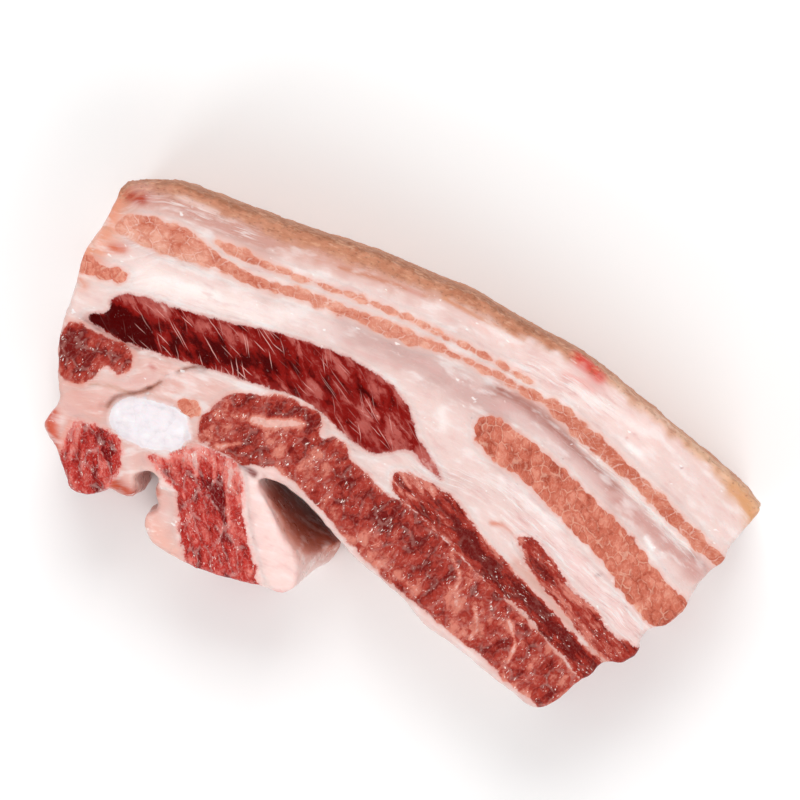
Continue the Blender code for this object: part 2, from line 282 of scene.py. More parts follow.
# The block's outline on the upper cut face, clockwise from the rind's left corner. The second pair of
# numbers, where there is one, is how far the same point stands out at the foot.
RIND_SIDE: Points = [
    (-79.8, 25.6), (-78.4, 28), (-74.5, 30.2), (-68.3, 32.6), (-55, 34.1), (-40, 36), (-24, 38.6),
    (-8, 39.8), (2, 40.7), (12, 39.9), (27, 39.7), (36, 38.5), (48, 36), (62, 32.9),
    (74.5, 30.1), (80.2, 28),
]  # fmt: skip
CUT_END: Points = [
    (81, 26.2), (79.9, 21.4), (79, 16.5), (79.2, 12.8), (77.3, 8.8), (76.3, 3.2), (76.5, -0.6),
    (74.6, -5.6), (71.5, -8.6), (70.8, -11.4), (71.5, -14.8), (69.2, -18.4), (65.6, -20.4), (64.6, -24.2),
    (62.4, -27.2), (60.9, -31.2), (59, -34.4), (56, -36.6),
]  # fmt: skip
RIB_SIDE: Points = [
    (50, -35.6), (42, -34.1), (34, -32.2), (25.5, -31), (18, -27.9), (10, -26.1),
    (4.5, -24.8), (-1, -22.6), (-7.5, -19.9), (-13, -18.3), (-18, -17.6),
]  # fmt: skip
FLAP: Points = [
    (-22.4, -18.9), (-19.6, -21.8, 6, 0.4), (-15.2, -25, 14, 0.2), (-12, -28, 12.8, 1.5),
    (-8.2, -30.4, 9.2, 0.8), (-5.6, -33.6, 5.8, 0.8), (-4.3, -37, 1, 0.5), (-6.2, -40.1), (-11, -40.6),
    (-17, -42.1), (-25.5, -43.6), (-33, -43.6), (-38.6, -42.6), (-41.8, -38.6), (-40.2, -35.6),
    (-42.6, -31.8), (-42.6, -29.4), (-45.2, -28.6),
]  # fmt: skip
TORN_END: Points = [
    (-47.8, -30.8), (-45.9, -33.4), (-47, -36.2), (-51.6, -36.4), (-53.6, -38.6), (-56.2, -40.2),
    (-59.2, -40.4), (-62, -38.2), (-66.8, -33.6), (-71.6, -30.4), (-71.5, -27.2), (-71, -23.6),
    (-73.6, -19.2), (-77.2, -11.6, -0.9, 0), (-78.6, -4, -1, 0), (-79.6, 2.4, -0.9, 0),
    (-81, 8.4), (-80.2, 16),
]  # fmt: skip
# How far the side walls lie inside the outline, by height.
SIDE_INSET = ((0.0, 1.7, 13.0, 24.5, 31.0, 40.0), (0.8, 0.1, -0.5, -0.2, 0.2, 0.5))
TOP_ROUNDING, FOOT_ROUNDING = 1.2, 0.8  # radii of the edges
# y of the ledge under the inner row of lean, by x.
LEDGE = ((-80, -20, 8, 22, 34, 46, 60, 80), (14.0, 22.4, 25.0, 25.0, 22.4, 19.2, 15.4, 10.2))


@dataclass(frozen=True)
class LeanFinish:
    """The look of one kind of lean meat: lobes of fibre bundles, with pale tissue between them.

    Lengths are in millimetres, and shares run from 0 to 1.

    Attributes:
        deep: colour of the darkest fibres.
        flesh: colour of most of the meat.
        pale: colour of the lightest fibres.
        tissue: colour of the seams between the lobes.
        lobe: width of a lobe.
        stretch: length of a lobe over its width.
        angle_deg: direction of the lobes and the fibres.
        seam: width of a seam.
        seams: how much the seams show.
        grain: width of the small bundles in a lobe.
        grains: how much their outlines show.
        fibre: length and width of the finest fibres that show.
        fine: how much the fibres and specks change the tone.
        contrast: how far the tone swings.
        scallop: how far a lobe at the edge bulges into the fat.
        fray: how ragged the edge is.
        soft_edge: width over which the meat turns into fat.
        stain: how much the meat's juice colours the fat beside it.
        rim: how much lighter the meat is along its edge.
        glint_flecks: how much the painted glints show, small pale spots of the wet surface.
        streaks: how much long silver streaks show.
        streak_angle_deg: direction of the streaks.
        wander: how far the edge strays from its drawn line.
        roughness: of the wet surface.
        gloss: the shader's specular level.
        relief: how far the lobes stand out.
    """

    deep: Colour
    flesh: Colour
    pale: Colour
    tissue: Colour
    lobe: float = 2.6
    stretch: float = 1.3
    angle_deg: float = 20.0
    seam: float = 0.2
    seams: float = 0.6
    grain: float = 0.8
    grains: float = 0.35
    fibre: tuple[float, float] = (1.0, 0.6)
    fine: float = 0.5
    contrast: float = 1.0
    scallop: float = 0.7
    fray: float = 0.25
    soft_edge: float = 0.2
    stain: float = 0.35
    rim: float = 0.16
    glint_flecks: float = 0.3
    streaks: float = 0.0
    streak_angle_deg: float = -32.0
    wander: float = 0.35
    roughness: float = 0.25
    gloss: float = 0.14
    relief: float = 0.45


class Meat(Enum):
    """The kinds of lean and gristle in the strip."""

    DARK = LeanFinish(
        deep=linear(76, 0, 0), flesh=linear(136, 20, 15), pale=linear(184, 92, 84),
        tissue=linear(224, 168, 160), lobe=3.4, stretch=2.6, angle_deg=-32, seam=0.14, seams=0.0,
        grain=1.0, grains=0.0, fibre=(3.4, 0.5), fine=0.32, scallop=0.1, fray=0.3, glint_flecks=0.06,
        streaks=0.95, relief=0.22, roughness=0.25, gloss=0.06,
    )  # fmt: skip
    RED = LeanFinish(
        deep=linear(118, 15, 10), flesh=linear(170, 56, 44), pale=linear(216, 130, 112),
        tissue=linear(234, 182, 170), lobe=3.2, stretch=1.35, angle_deg=75, seam=0.42, seams=0.2,
        grain=1.3, grains=0.1, fine=0.45, glint_flecks=0.9, relief=0.6,
    )  # fmt: skip
    LONG = LeanFinish(
        deep=linear(108, 12, 8), flesh=linear(162, 48, 36), pale=linear(212, 126, 110),
        tissue=linear(228, 174, 160), lobe=1.9, stretch=3.6, angle_deg=-21, seam=0.2, seams=0.1,
        grain=0.8, grains=0.05, fibre=(2.6, 0.4), fine=0.5, scallop=0.4, fray=0.45, wander=0.5,
        glint_flecks=0.7, relief=0.35,
    )  # fmt: skip
    PINK = LeanFinish(
        deep=linear(172, 78, 58), flesh=linear(200, 108, 86), pale=linear(220, 140, 118),
        tissue=linear(238, 188, 166), lobe=2.2, angle_deg=-60, seam=0.17, seams=0.46, grain=0.85,
        grains=0.16, contrast=1.15, scallop=1.0, fray=0.12, soft_edge=0.14, wander=0.2, glint_flecks=0.15,
        roughness=0.36, relief=0.16,
    )  # fmt: skip
    GRAIN = LeanFinish(
        deep=linear(194, 104, 80), flesh=linear(213, 136, 113), pale=linear(229, 166, 145),
        tissue=linear(242, 206, 194), lobe=2.8, stretch=1.2, angle_deg=8, seam=0.17, seams=0.42,
        grain=1.0, grains=0.16, streaks=0.8, streak_angle_deg=-52, scallop=1.1, fray=0.15, wander=0.2,
        glint_flecks=0.2, roughness=0.38, relief=0.2,
    )  # fmt: skip
    TORN = LeanFinish(
        deep=linear(124, 6, 10), flesh=linear(192, 50, 42), pale=linear(230, 124, 112),
        tissue=linear(236, 186, 178), lobe=2.6, stretch=2.6, angle_deg=-52, seam=0.3, seams=0.35,
        grain=0.9, grains=0.2, fibre=(2.2, 0.55), scallop=0.5, fray=0.5, wander=0.7, glint_flecks=0.8,
        roughness=0.22, gloss=0.2, relief=0.9,
    )  # fmt: skip
    GRISTLE = LeanFinish(
        deep=linear(226, 218, 222), flesh=linear(239, 231, 235), pale=linear(246, 242, 244),
        tissue=linear(222, 212, 218), lobe=4.2, stretch=1.0, angle_deg=0, seam=0.4, seams=0.06, grain=1.4,
        grains=0.0, fine=0.25, contrast=0.9, scallop=0.05, fray=0.15, soft_edge=0.16, wander=0.3,
        glint_flecks=0.1, roughness=0.38, relief=0.06,
    )  # fmt: skip


@dataclass(frozen=True)
class Layer:
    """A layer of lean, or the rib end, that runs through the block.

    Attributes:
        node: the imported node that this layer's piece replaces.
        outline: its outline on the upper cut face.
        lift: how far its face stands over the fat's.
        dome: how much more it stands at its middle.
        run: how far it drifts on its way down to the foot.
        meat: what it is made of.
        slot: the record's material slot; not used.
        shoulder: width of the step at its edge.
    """

    node: str
    outline: Points
    lift: float
    dome: float
    run: tuple[float, float]
    meat: Meat
    slot: str
    shoulder: float = 1.2


LAYERS = [
    Layer(
        "dark_lean",
        [
            (-74, -3.8), (-70.2, -0.6), (-70.4, 2.8), (-65.5, 5.8), (-55, 7.4), (-45, 9.8), (-35, 12.3),
            (-25, 14.2), (-15, 15.1), (-5.5, 13.8), (0.5, 10.8), (5, 6.4), (10, 3.5), (14, 0.3),
            (9, 1.4), (4.2, 2.8), (-2, -1.4), (-9, -1), (-16, 0.9), (-23, 2.1), (-33, 0.4),
            (-44, -1.6), (-56, -3.9), (-66, -5),
        ],
        lift=-1, dome=0.4, run=(1.6, 0.8), meat=Meat.DARK, slot="dark_lean", shoulder=1.8,
    ),
    Layer(
        "pink_lean",
        [
            (15, 14.4), (17.2, 18), (23, 18.1), (32, 16.4), (40, 14.2), (50, 11), (60, 7.6),
            (68, 3.8), (76, 1), (79.5, -1.5), (76.5, -8), (71.5, -7.6), (63, -4.4), (56, -0.8),
            (48, 2.4), (41, 5), (33, 7.4), (26, 9), (18.5, 10.6),
        ],
        lift=0.2, dome=0.4, run=(-2.5, 1), meat=Meat.PINK, slot="pale_lean",
    ),
    Layer(
        "narrow_lean",
        [
            (35, -3.7), (39, -2.4), (45, -4.7), (51, -8.2), (58, -10), (64, -13.4), (70.5, -13.2),
            (74.5, -15), (71.5, -19.5), (64.5, -18.9), (57, -15.7), (49, -12), (41, -8.6),
            (38.8, -6.4),
        ],
        lift=-0.5, dome=0.4, run=(1.5, 0.8), meat=Meat.LONG, slot="lean",
    ),
    Layer(
        "middle_lean",
        [
            (3.6, -4), (6, -2), (12.5, -1.5), (18.5, -2.2), (22, -3.8), (26.5, -6.5), (31.8, -8.8),
            (40, -11.8), (48.8, -14.7), (57.6, -17.9), (66, -20.2), (69, -24.2), (63.4, -25.4),
            (60, -23.9), (51.2, -20.4), (43, -17.3), (36, -15.9), (28.2, -13.2), (19.4, -10.5),
            (12, -8.2), (7, -7.2),
        ],
        lift=-0.6, dome=0.3, run=(1.8, 0.9), meat=Meat.LONG, slot="lean",
    ),
    Layer(
        "rib_side_lean",
        [
            (-40.2, -12.5), (-39.2, -8.4), (-36.8, -4.2), (-31.6, -1.6), (-26, 0.7), (-20.5, 1.3),
            (-16, 0.4), (-14.6, -3.9), (-12, -2.6), (-9, -2.6), (-5.6, -5), (0, -6.6), (5, -9),
            (8.8, -8.6), (16.5, -10.8), (23.5, -13), (31.8, -15.8), (38, -17.4), (45.9, -19.7),
            (55.3, -23.4), (63.5, -26.8), (65, -31.5), (60, -36.2), (54.5, -34.9), (47.5, -33.6),
            (40, -31.2), (30, -29.3), (20, -27.2), (10, -24.9), (2, -21.9), (-6, -18.9),
            (-13, -16.6), (-20, -14.8), (-26, -16.8), (-33, -16.6), (-39, -16.2),
        ],
        lift=0.3, dome=0.6, run=(0, 0.5), meat=Meat.RED, slot="lean",
    ),
    Layer(
        "flap_lean",
        [
            (-47.6, -25.4), (-43, -23.4), (-40.2, -19.4), (-36, -18.4), (-28.4, -18.4), (-25.2, -21.8),
            (-22, -27.4), (-17.8, -33), (-12.8, -38.8), (-12.2, -43), (-25, -46.5), (-30.6, -41.6),
            (-35, -35.4), (-38.2, -30), (-43, -27.4),
        ],
        lift=-0.4, dome=0.6, run=(3, 1.5), meat=Meat.TORN, slot="dark_lean",
    ),
    Layer(
        "torn_end_lean",
        [
            (-65.8, -28.6), (-64.6, -25.4), (-56, -24.6), (-52.6, -27.4), (-51.8, -33.4), (-53.6, -42.5),
            (-62.5, -42.5), (-65.2, -33.8),
        ],
        lift=0.1, dome=0.8, run=(0.5, 0.5), meat=Meat.TORN, slot="lean",
    ),
    Layer(
        "corner_lean",
        [
            (-76.6, -6.2), (-70, -5.7), (-61.4, -5.9), (-59.8, -9), (-61.4, -12.2), (-65.4, -11.6),
            (-66.2, -16.2), (-70.6, -18.8), (-74.2, -17.6), (-76.8, -11),
        ],
        lift=-0.2, dome=0.5, run=(0.6, -0.6), meat=Meat.RED, slot="lean",
    ),
    Layer(
        "skin_side_lean_inner",
        band(
            [
                (-76.5, 18, 1.6), (-71, 19.6, 3), (-66, 20.2, 3.6), (-59.5, 20.8, 3),
                (-55, 20.7, 2.2), (-51, 20.5, 1.7), (-45, 20.7, 1.5), (-39, 21.4, 1.6),
                (-33, 22.9, 1.5), (-26, 23.5, 1.4), (-19, 24.5, 1.4), (-12, 25.1, 1.8),
                (-5, 25.7, 1.6), (1, 26.5, 1), (13, 26.7, 1), (24.5, 26.4, 1.1), (30, 26.2, 1.7),
                (37, 24.4, 1.9), (43, 23, 2.1), (48, 21.6, 1.9), (53, 20.3, 1.5), (59, 18.5, 1.7),
                (65, 16.3, 1.7), (71, 14.3, 1.9), (77, 13, 1.6), (83, 11.8, 1.6),
            ]
        ),
        lift=0.2, dome=0, run=(0, -0.8), meat=Meat.GRAIN, slot="pale_lean", shoulder=0.5,
    ),
    Layer(
        "skin_side_lean_outer",
        band(
            [
                (-55.5, 24.8, 0.7), (-52, 24.6, 1.3), (-46, 25.1, 1.2), (-40, 25.5, 1),
                (-33.5, 26.3, 0.9), (-28, 27.1, 0.7), (-19, 28.3, 0.8), (-12, 28.9, 0.8),
                (-5, 29.3, 0.7), (13, 29.2, 0.7), (22, 29, 0.6),
            ]
        ),
        lift=0.2, dome=0, run=(0, -0.8), meat=Meat.GRAIN, slot="pale_lean", shoulder=0.5,
    ),
    Layer(
        "rib_lean",
        [(-47, -11.5), (-44.4, -9.9), (-41.9, -10.3), (-41.7, -12.2), (-43.8, -12.6), (-45.8, -12.2)],
        lift=-0.3, dome=0.3, run=(0.3, 0.3), meat=Meat.PINK, slot="pale_lean",
    ),
    Layer(
        "edge_lean",
        [
            (-83, 8.6), (-76, 8.6), (-71.8, 9.8), (-69.2, 8.6), (-70.4, 6.6), (-73.6, 5.4),
            (-77, 4.8), (-83, 4.4),
        ],
        lift=0, dome=0.2, run=(0.5, 0.5), meat=Meat.PINK, slot="pale_lean",
    ),
    Layer(
        "rib_end", ellipse((-50.2, -18.9), 9.2, 5.3, 9, 0.88),
        lift=0.7, dome=0.9, run=(1, 0), meat=Meat.GRISTLE, slot="gristle",
    ),
]  # fmt: skip


@dataclass(frozen=True)
class Stroke:
    """A soft-edged stroke on the upper cut face.

    Attributes:
        line: points along its middle.
        width: how far from its middle it has faded to about a third.
        amount: what it does in its middle.
    """

    line: Points
    width: float
    amount: float = 1.0


# By how much a stretch of a layer is lighter, or with an amount under 0 darker, than the rest of it.
TONES: dict[str, list[Stroke]] = {
    "dark_lean": [
        Stroke([(-73, -3.6), (-67, -2.6), (-61, -2.4)], 2.8, -0.7),
        Stroke([(-66, 1.2), (-56, 1.4), (-46, 3)], 2.4, -0.28),
        Stroke([(-55, -2), (-50, -0.6), (-44, 0.6)], 1.5, -0.3),
        Stroke([(-69, 4.2), (-62, 4.6), (-54, 5.6), (-46, 8.4)], 1.3, 0.28),
        Stroke([(-38, 5), (-30, 5)], 2.2, -0.4),
        Stroke([(-50, 5.6), (-38, 9)], 2, 0.14),
        Stroke([(-28, 12.4), (-18, 13.2), (-10, 11.8)], 2.6, 0.26),
        Stroke([(-20, 5), (-8, 4)], 3, 0.2),
        Stroke([(-4, 8), (4, 5), (11, 2.2)], 2.8, 0.26),
        Stroke([(-14, 6.5), (-6, 5), (0, 2.4)], 0.5, 0.5),
        Stroke([(-9, 8.6), (-5, 6)], 0.45, 0.5),
    ],
    "pink_lean": [
        Stroke([(17, 13.6), (26, 13), (36, 9.6)], 3.2, -0.2),
        Stroke([(64, 2), (76, -4)], 4, -0.06),
    ],
    "skin_side_lean_inner": [
        Stroke([(28, 26.4), (48, 21.6), (80, 12.4)], 3, -0.3),
        Stroke([(-75, 21.6), (-66, 22.4), (-60, 22.6)], 1.6, -0.15),
        Stroke([(-74, 17.2), (-66, 17.4), (-56, 18.4)], 1.5, 0.4),
    ],
    "rib_side_lean": [
        Stroke([(-34, -4), (-26, -1), (-19, -1.2)], 2.2, -0.34),
        Stroke([(-29.8, -7.4), (-26, -5.9), (-22.4, -4.4), (-19.2, -3)], 1, 1.15),
        Stroke([(42, -21), (45.6, -25), (46.2, -29.5)], 0.4, 0.9),
        Stroke([(24.5, -14.6), (27.6, -17.2), (28.2, -20)], 0.4, 0.8),
        Stroke([(34, -22), (36.5, -26), (36, -29)], 0.35, 0.7),
        Stroke([(-34, -16.2), (-30, -13.4)], 0.6, 0.8),
        Stroke([(-36, -8), (-30, -12)], 4, -0.06),
        Stroke([(6, -14), (14, -15.2), (24, -18.5)], 2.8, -0.27),
        Stroke([(0, -10), (12, -11)], 1.5, -0.1),
        Stroke([(-6, -17), (6, -21.5), (20, -25)], 1.6, 0.26),
    ],
    "middle_lean": [
        Stroke([(4, -4.4), (10, -3.4), (15, -3.6)], 1.6, 0.04),
        Stroke([(7, -6.2), (14, -6.4), (20, -8.2)], 0.4, 0.45),
        Stroke([(5, -2.4), (8.6, -4.6)], 0.35, 0.5),
        Stroke([(8.4, -1.6), (11.4, -4.2)], 0.3, 0.4),
        Stroke([(12, -1.6), (14.6, -4.4)], 0.3, 0.5),
        Stroke([(3.8, -4.8), (7.2, -6)], 0.35, 0.7),
        Stroke([(14, -5.4), (26, -8.8)], 2.2, -0.3),
        Stroke([(27, -10), (40, -14.2), (50, -17.8), (58, -20.6)], 2.4, -0.46),
        Stroke([(60, -21.6), (67, -23)], 2, -0.2),
    ],
    "narrow_lean": [
        Stroke([(42, -7), (54, -12.5), (66, -16.8)], 1.6, 0.12),
    ],
    "flap_lean": [
        Stroke([(-32, -24.5), (-29, -28)], 2.2, -0.4),
        Stroke([(-44, -25.4), (-39, -21.5)], 1.8, 0.4),
        Stroke([(-39, -18.6), (-33, -19.6), (-27, -19.2)], 1.8, 0.4),
        Stroke([(-38, -20), (-35.5, -24.5)], 0.45, 0.8),
        Stroke([(-34, -19), (-31, -24)], 0.4, 0.7),
        Stroke([(-29, -19.5), (-27, -26), (-24, -31)], 0.4, 0.6),
        Stroke([(-25, -34), (-18, -38)], 3.4, -0.12),
    ],
    "torn_end_lean": [
        Stroke([(-64.4, -26), (-63.4, -30), (-62.6, -34)], 0.8, 0.55),
        Stroke([(-62.6, -26.6), (-61.4, -32)], 0.6, -0.3),
        Stroke([(-59, -28), (-57.6, -37)], 5, -0.22),
        Stroke([(-58, -38.5), (-56, -40)], 1.6, 0.2),
    ],
    "edge_lean": [
        Stroke([(-80, 6.4), (-72, 7.6)], 3, 0.22),
    ],
    "corner_lean": [
        Stroke([(-74.5, -11), (-72, -14)], 2.4, -0.4),
        Stroke([(-72, -9), (-64, -9)], 4, -0.28),
        Stroke([(-72, -17.5), (-69, -18.5)], 1.5, 0.3),
        Stroke([(-74, -7.5), (-66, -7)], 1, 0.12),
    ],
}


# How far every layer of lean reaches further into the fat, in millimetres.
SWELLS = [
    Stroke([(5, -7.9), (16, -10.6), (26, -13.4), (37, -16.6)], 1.6, 1),
    Stroke([(38, -17), (46, -19.2), (56, -22.8), (63, -26)], 1, 0.55),
    Stroke([(26, -6.6), (40, -11.6), (57, -17.6)], 0.9, 0.5),
    Stroke([(38, -7.4), (49, -12), (64, -18.8)], 0.9, 0.4),
    Stroke([(-40, -17.4), (-34, -17.4), (-27, -17.4)], 1, 0.75),
    Stroke([(-33, -0.6), (-26, 1.6), (-20, 1.9)], 0.6, 0.25),
    Stroke([(-45.4, -11.4), (-43.4, -11.4)], 3, 0.8),
    Stroke([(-74, 19.6), (-66, 20.4), (-58, 21)], 3.2, 0.7),
]


# Creases, and with an amount under 0 a ridge, with their depths in millimetres.
CREASES = [
    Stroke([(-45, -2), (-48, -3.5), (-50, -5.7), (-52, -7.5), (-52.5, -10), (-54, -12)], 0.55, 1),
    Stroke([(-54, -12), (-56.5, -14.5), (-59, -16.5), (-60.2, -19), (-61.5, -20.3)], 0.7, 1.2),
    Stroke([(-66, -17), (-62, -15.3), (-57, -14.8)], 0.8, 0.5),
    Stroke([(-74.5, -4.6), (-66, -5.5), (-56, -4.3), (-46, -2.4)], 1.3, 1.3),
    Stroke([(-64.5, -26), (-63, -30), (-61, -34)], 1, 1.2),
    Stroke([(-28, -18), (-24.8, -21.5), (-21.5, -27), (-17, -33), (-11, -40)], 0.8, 0.7),
    Stroke([(-40.5, -17.4), (-33, -17.9), (-27, -17.6), (-22, -18)], 1, 1.1),
    Stroke([(-53.8, -13.8), (-53.2, -17), (-52.2, -20), (-50.6, -24.2)], 0.6, 0.5),
    Stroke([(-14.8, -0.5), (-14.7, -3), (-13.5, -5)], 0.9, 0.6),
    Stroke([(27, -15), (27.8, -17), (27.5, -19.5)], 0.6, 0.5),
    Stroke([(35, -23), (36.5, -26), (38, -29.5)], 0.6, 0.5),
    Stroke([(36.5, -5), (44, -9.6), (54, -14.4), (66, -19.6)], 0.8, 0.5),
    Stroke([(-29.5, -7.3), (-24, -5), (-19, -3)], 1, -0.5),
]


@dataclass
class Surface:
    """The shape of the whole strip, worked out on a grid in the drawing's plane.

    Attributes:
        low: lowest x and y of the grid.
        high: highest x and y of the grid.
        waves: how far the face's long and short slow waves swing.
        ledge_drop: how far the face falls below the ledge under the inner row.
        flap_drop: how far the flap's face lies under the rest.
        hollow_drop: how far the face sinks above the rib end.
        dents: amount, size and seed of the face's small dents.
        lumps: how far the lobes stand out, as a share of a finish's relief.
        bumps: how far the small bumps between them do.
    """

    low: tuple[float, float] = (-86.0, -49.0)
    high: tuple[float, float] = (86.0, 46.0)
    waves: tuple[float, float] = (0.5, 0.3)
    ledge_drop: float = 1.2
    flap_drop: float = 3.2
    hollow_drop: float = 1.2
    dents: tuple[tuple[float, float, int], ...] = ((0.2, 5.0, 3), (0.06, 1.4, 4))
    lumps: float = 0.9
    bumps: float = 0.7

    def __post_init__(self) -> None:
        """Works out every outline's depth and the height of the upper cut face."""
        block = RIND_SIDE + CUT_END + RIB_SIDE + FLAP + TORN_END
        loop = rounded([p if len(p) == 4 else (*p, 0, 0) for p in block], 1.3)
        self.x = np.arange(self.low[0], self.high[0], GRID_STEP)
        self.y = np.arange(self.low[1], self.high[1], GRID_STEP)
        self.gx, self.gy = np.meshgrid(self.x, self.y, indexing="ij")
        self.top = depth_inside(self.gx, self.gy, loop)
        self.foot = depth_inside(self.gx, self.gy, loop[:, :2] + loop[:, 2:])
        self.depths = {
            layer.node: depth_inside(self.gx, self.gy, rounded(layer.outline, 1.2)) for layer in LAYERS
        }
        self.rind = distance_to(self.gx, self.gy, rounded(RIND_SIDE, 2.0, closed=False), False)
        self.height = self._height()

    def sample(self, grid: Array, x: Array, y: Array) -> Array:
        """A grid's values between its points.

        Args:
            grid: one value for each point of the grid.
            x: first coordinate of each place.
            y: second coordinate of each place.

        Returns:
            One value for each place.
        """
        u = np.clip((x - self.x[0]) / GRID_STEP, 0, len(self.x) - 1.001)
        v = np.clip((y - self.y[0]) / GRID_STEP, 0, len(self.y) - 1.001)
        i, j = u.astype(int), v.astype(int)
        u, v = u - i, v - j
        low = grid[i, j] * (1 - v) + grid[i, j + 1] * v
        high = grid[i + 1, j] * (1 - v) + grid[i + 1, j + 1] * v
        return low * (1 - u) + high * u

    def layer_depth(self, layer: Layer, x: Array, y: Array, z: Array) -> Array:
        """How far inside a layer a point lies, with the layer's drift taken out."""
        share = np.clip(1 - z / STRAIGHT, 0, 1)
        return self.sample(self.depths[layer.node], x - layer.run[0] * share, y - layer.run[1] * share)

    def _height(self) -> Array:
        """Height of the upper cut face over the foot at each point of the grid.

        Returns:
            One height for each point.
        """
        x, y = self.gx, self.gy
        height = THICKNESS + self._large_forms()
        height += sum(amount * soft_noise(x, y, 0, size, seed) for amount, size, seed in self.dents)
        across = self.rind + 0.6 * soft_noise(x, y, 0, 7.0, 10)
        height += 0.22 * soft_noise(x / 5.0, across, 0, 1.6, 8)  # ripples along the rind
        for index, layer in enumerate(LAYERS):
            height += self._layer_relief(layer, index)
        for crease in CREASES:
            line = rounded(crease.line, 1.0, closed=False)
            away = distance_to(x, y, line, False) + 0.25 * soft_noise(x, y, 0, 1.6, 9)
            height -= crease.amount * np.exp(-((away / crease.width) ** 2))
        return height

    def _large_forms(self) -> Array:
        """The slow waves, the ledge, the lower flap and the hollow above the rib end.

        Returns:
            Their sum at each point of the grid.
        """
        x, y = self.gx, self.gy
        rise = self.waves[0] * np.sin(x / 17.0 + 0.6) * np.cos(y / 13.0)
        rise = rise + self.waves[1] * np.sin(x / 7.0 - y / 9.0)
        below = np.interp(x, *LEDGE) - y
        ledge = smoothstep(below / 2.6) * smoothstep(1 - below / 13.0) * smoothstep((x + 30) / 40)
        flap = smoothstep((-22.0 - y) / 14.0) * smoothstep((x + 46.0) / 6.0) * smoothstep((2.0 - x) / 6.0)
        hollow = np.exp(-(((x + 54.0) / 9.0) ** 2) - ((y + 9.5) / 4.0) ** 2)
        return rise - self.ledge_drop * ledge - self.flap_drop * flap - self.hollow_drop * hollow

    def _layer_relief(self, layer: Layer, index: int) -> Array:
        """A layer's step, dome and lobes on the cut face.

        Args:
            layer: the layer.
            index: its number, for the seeds.

        Returns:
            How far it stands over the fat at each point of the grid.
        """
        x, y, look = self.gx, self.gy, layer.meat.value
        depth = self.depths[layer.node]
        step = smoothstep(depth, -0.3 * layer.shoulder, 0.7 * layer.shoulder)
        lumps = cells(x, y, 1.1 * look.lobe, 20 + index, look.stretch, look.angle_deg) - 0.5
        small = self.lumps * lumps + self.bumps * soft_noise(x, y, 0, 1.2, 40 + index)
        return layer.lift * step + layer.dome * smoothstep(depth / 5.0) + look.relief * step * small


def round_max(a: Array, b: Array, radius: float) -> Array:
    """The larger of two fields, with an edge of that radius where they meet."""
    a, b = a + radius, b + radius
    return np.minimum(np.maximum(a, b), 0) + np.hypot(np.maximum(a, 0), np.maximum(b, 0)) - radius


def sliced(axis: int, part: slice) -> tuple[slice, ...]:
    """The index of a part of a grid along one axis, and of all of it along the others."""
    return tuple(part if a == axis else slice(None) for a in range(3))


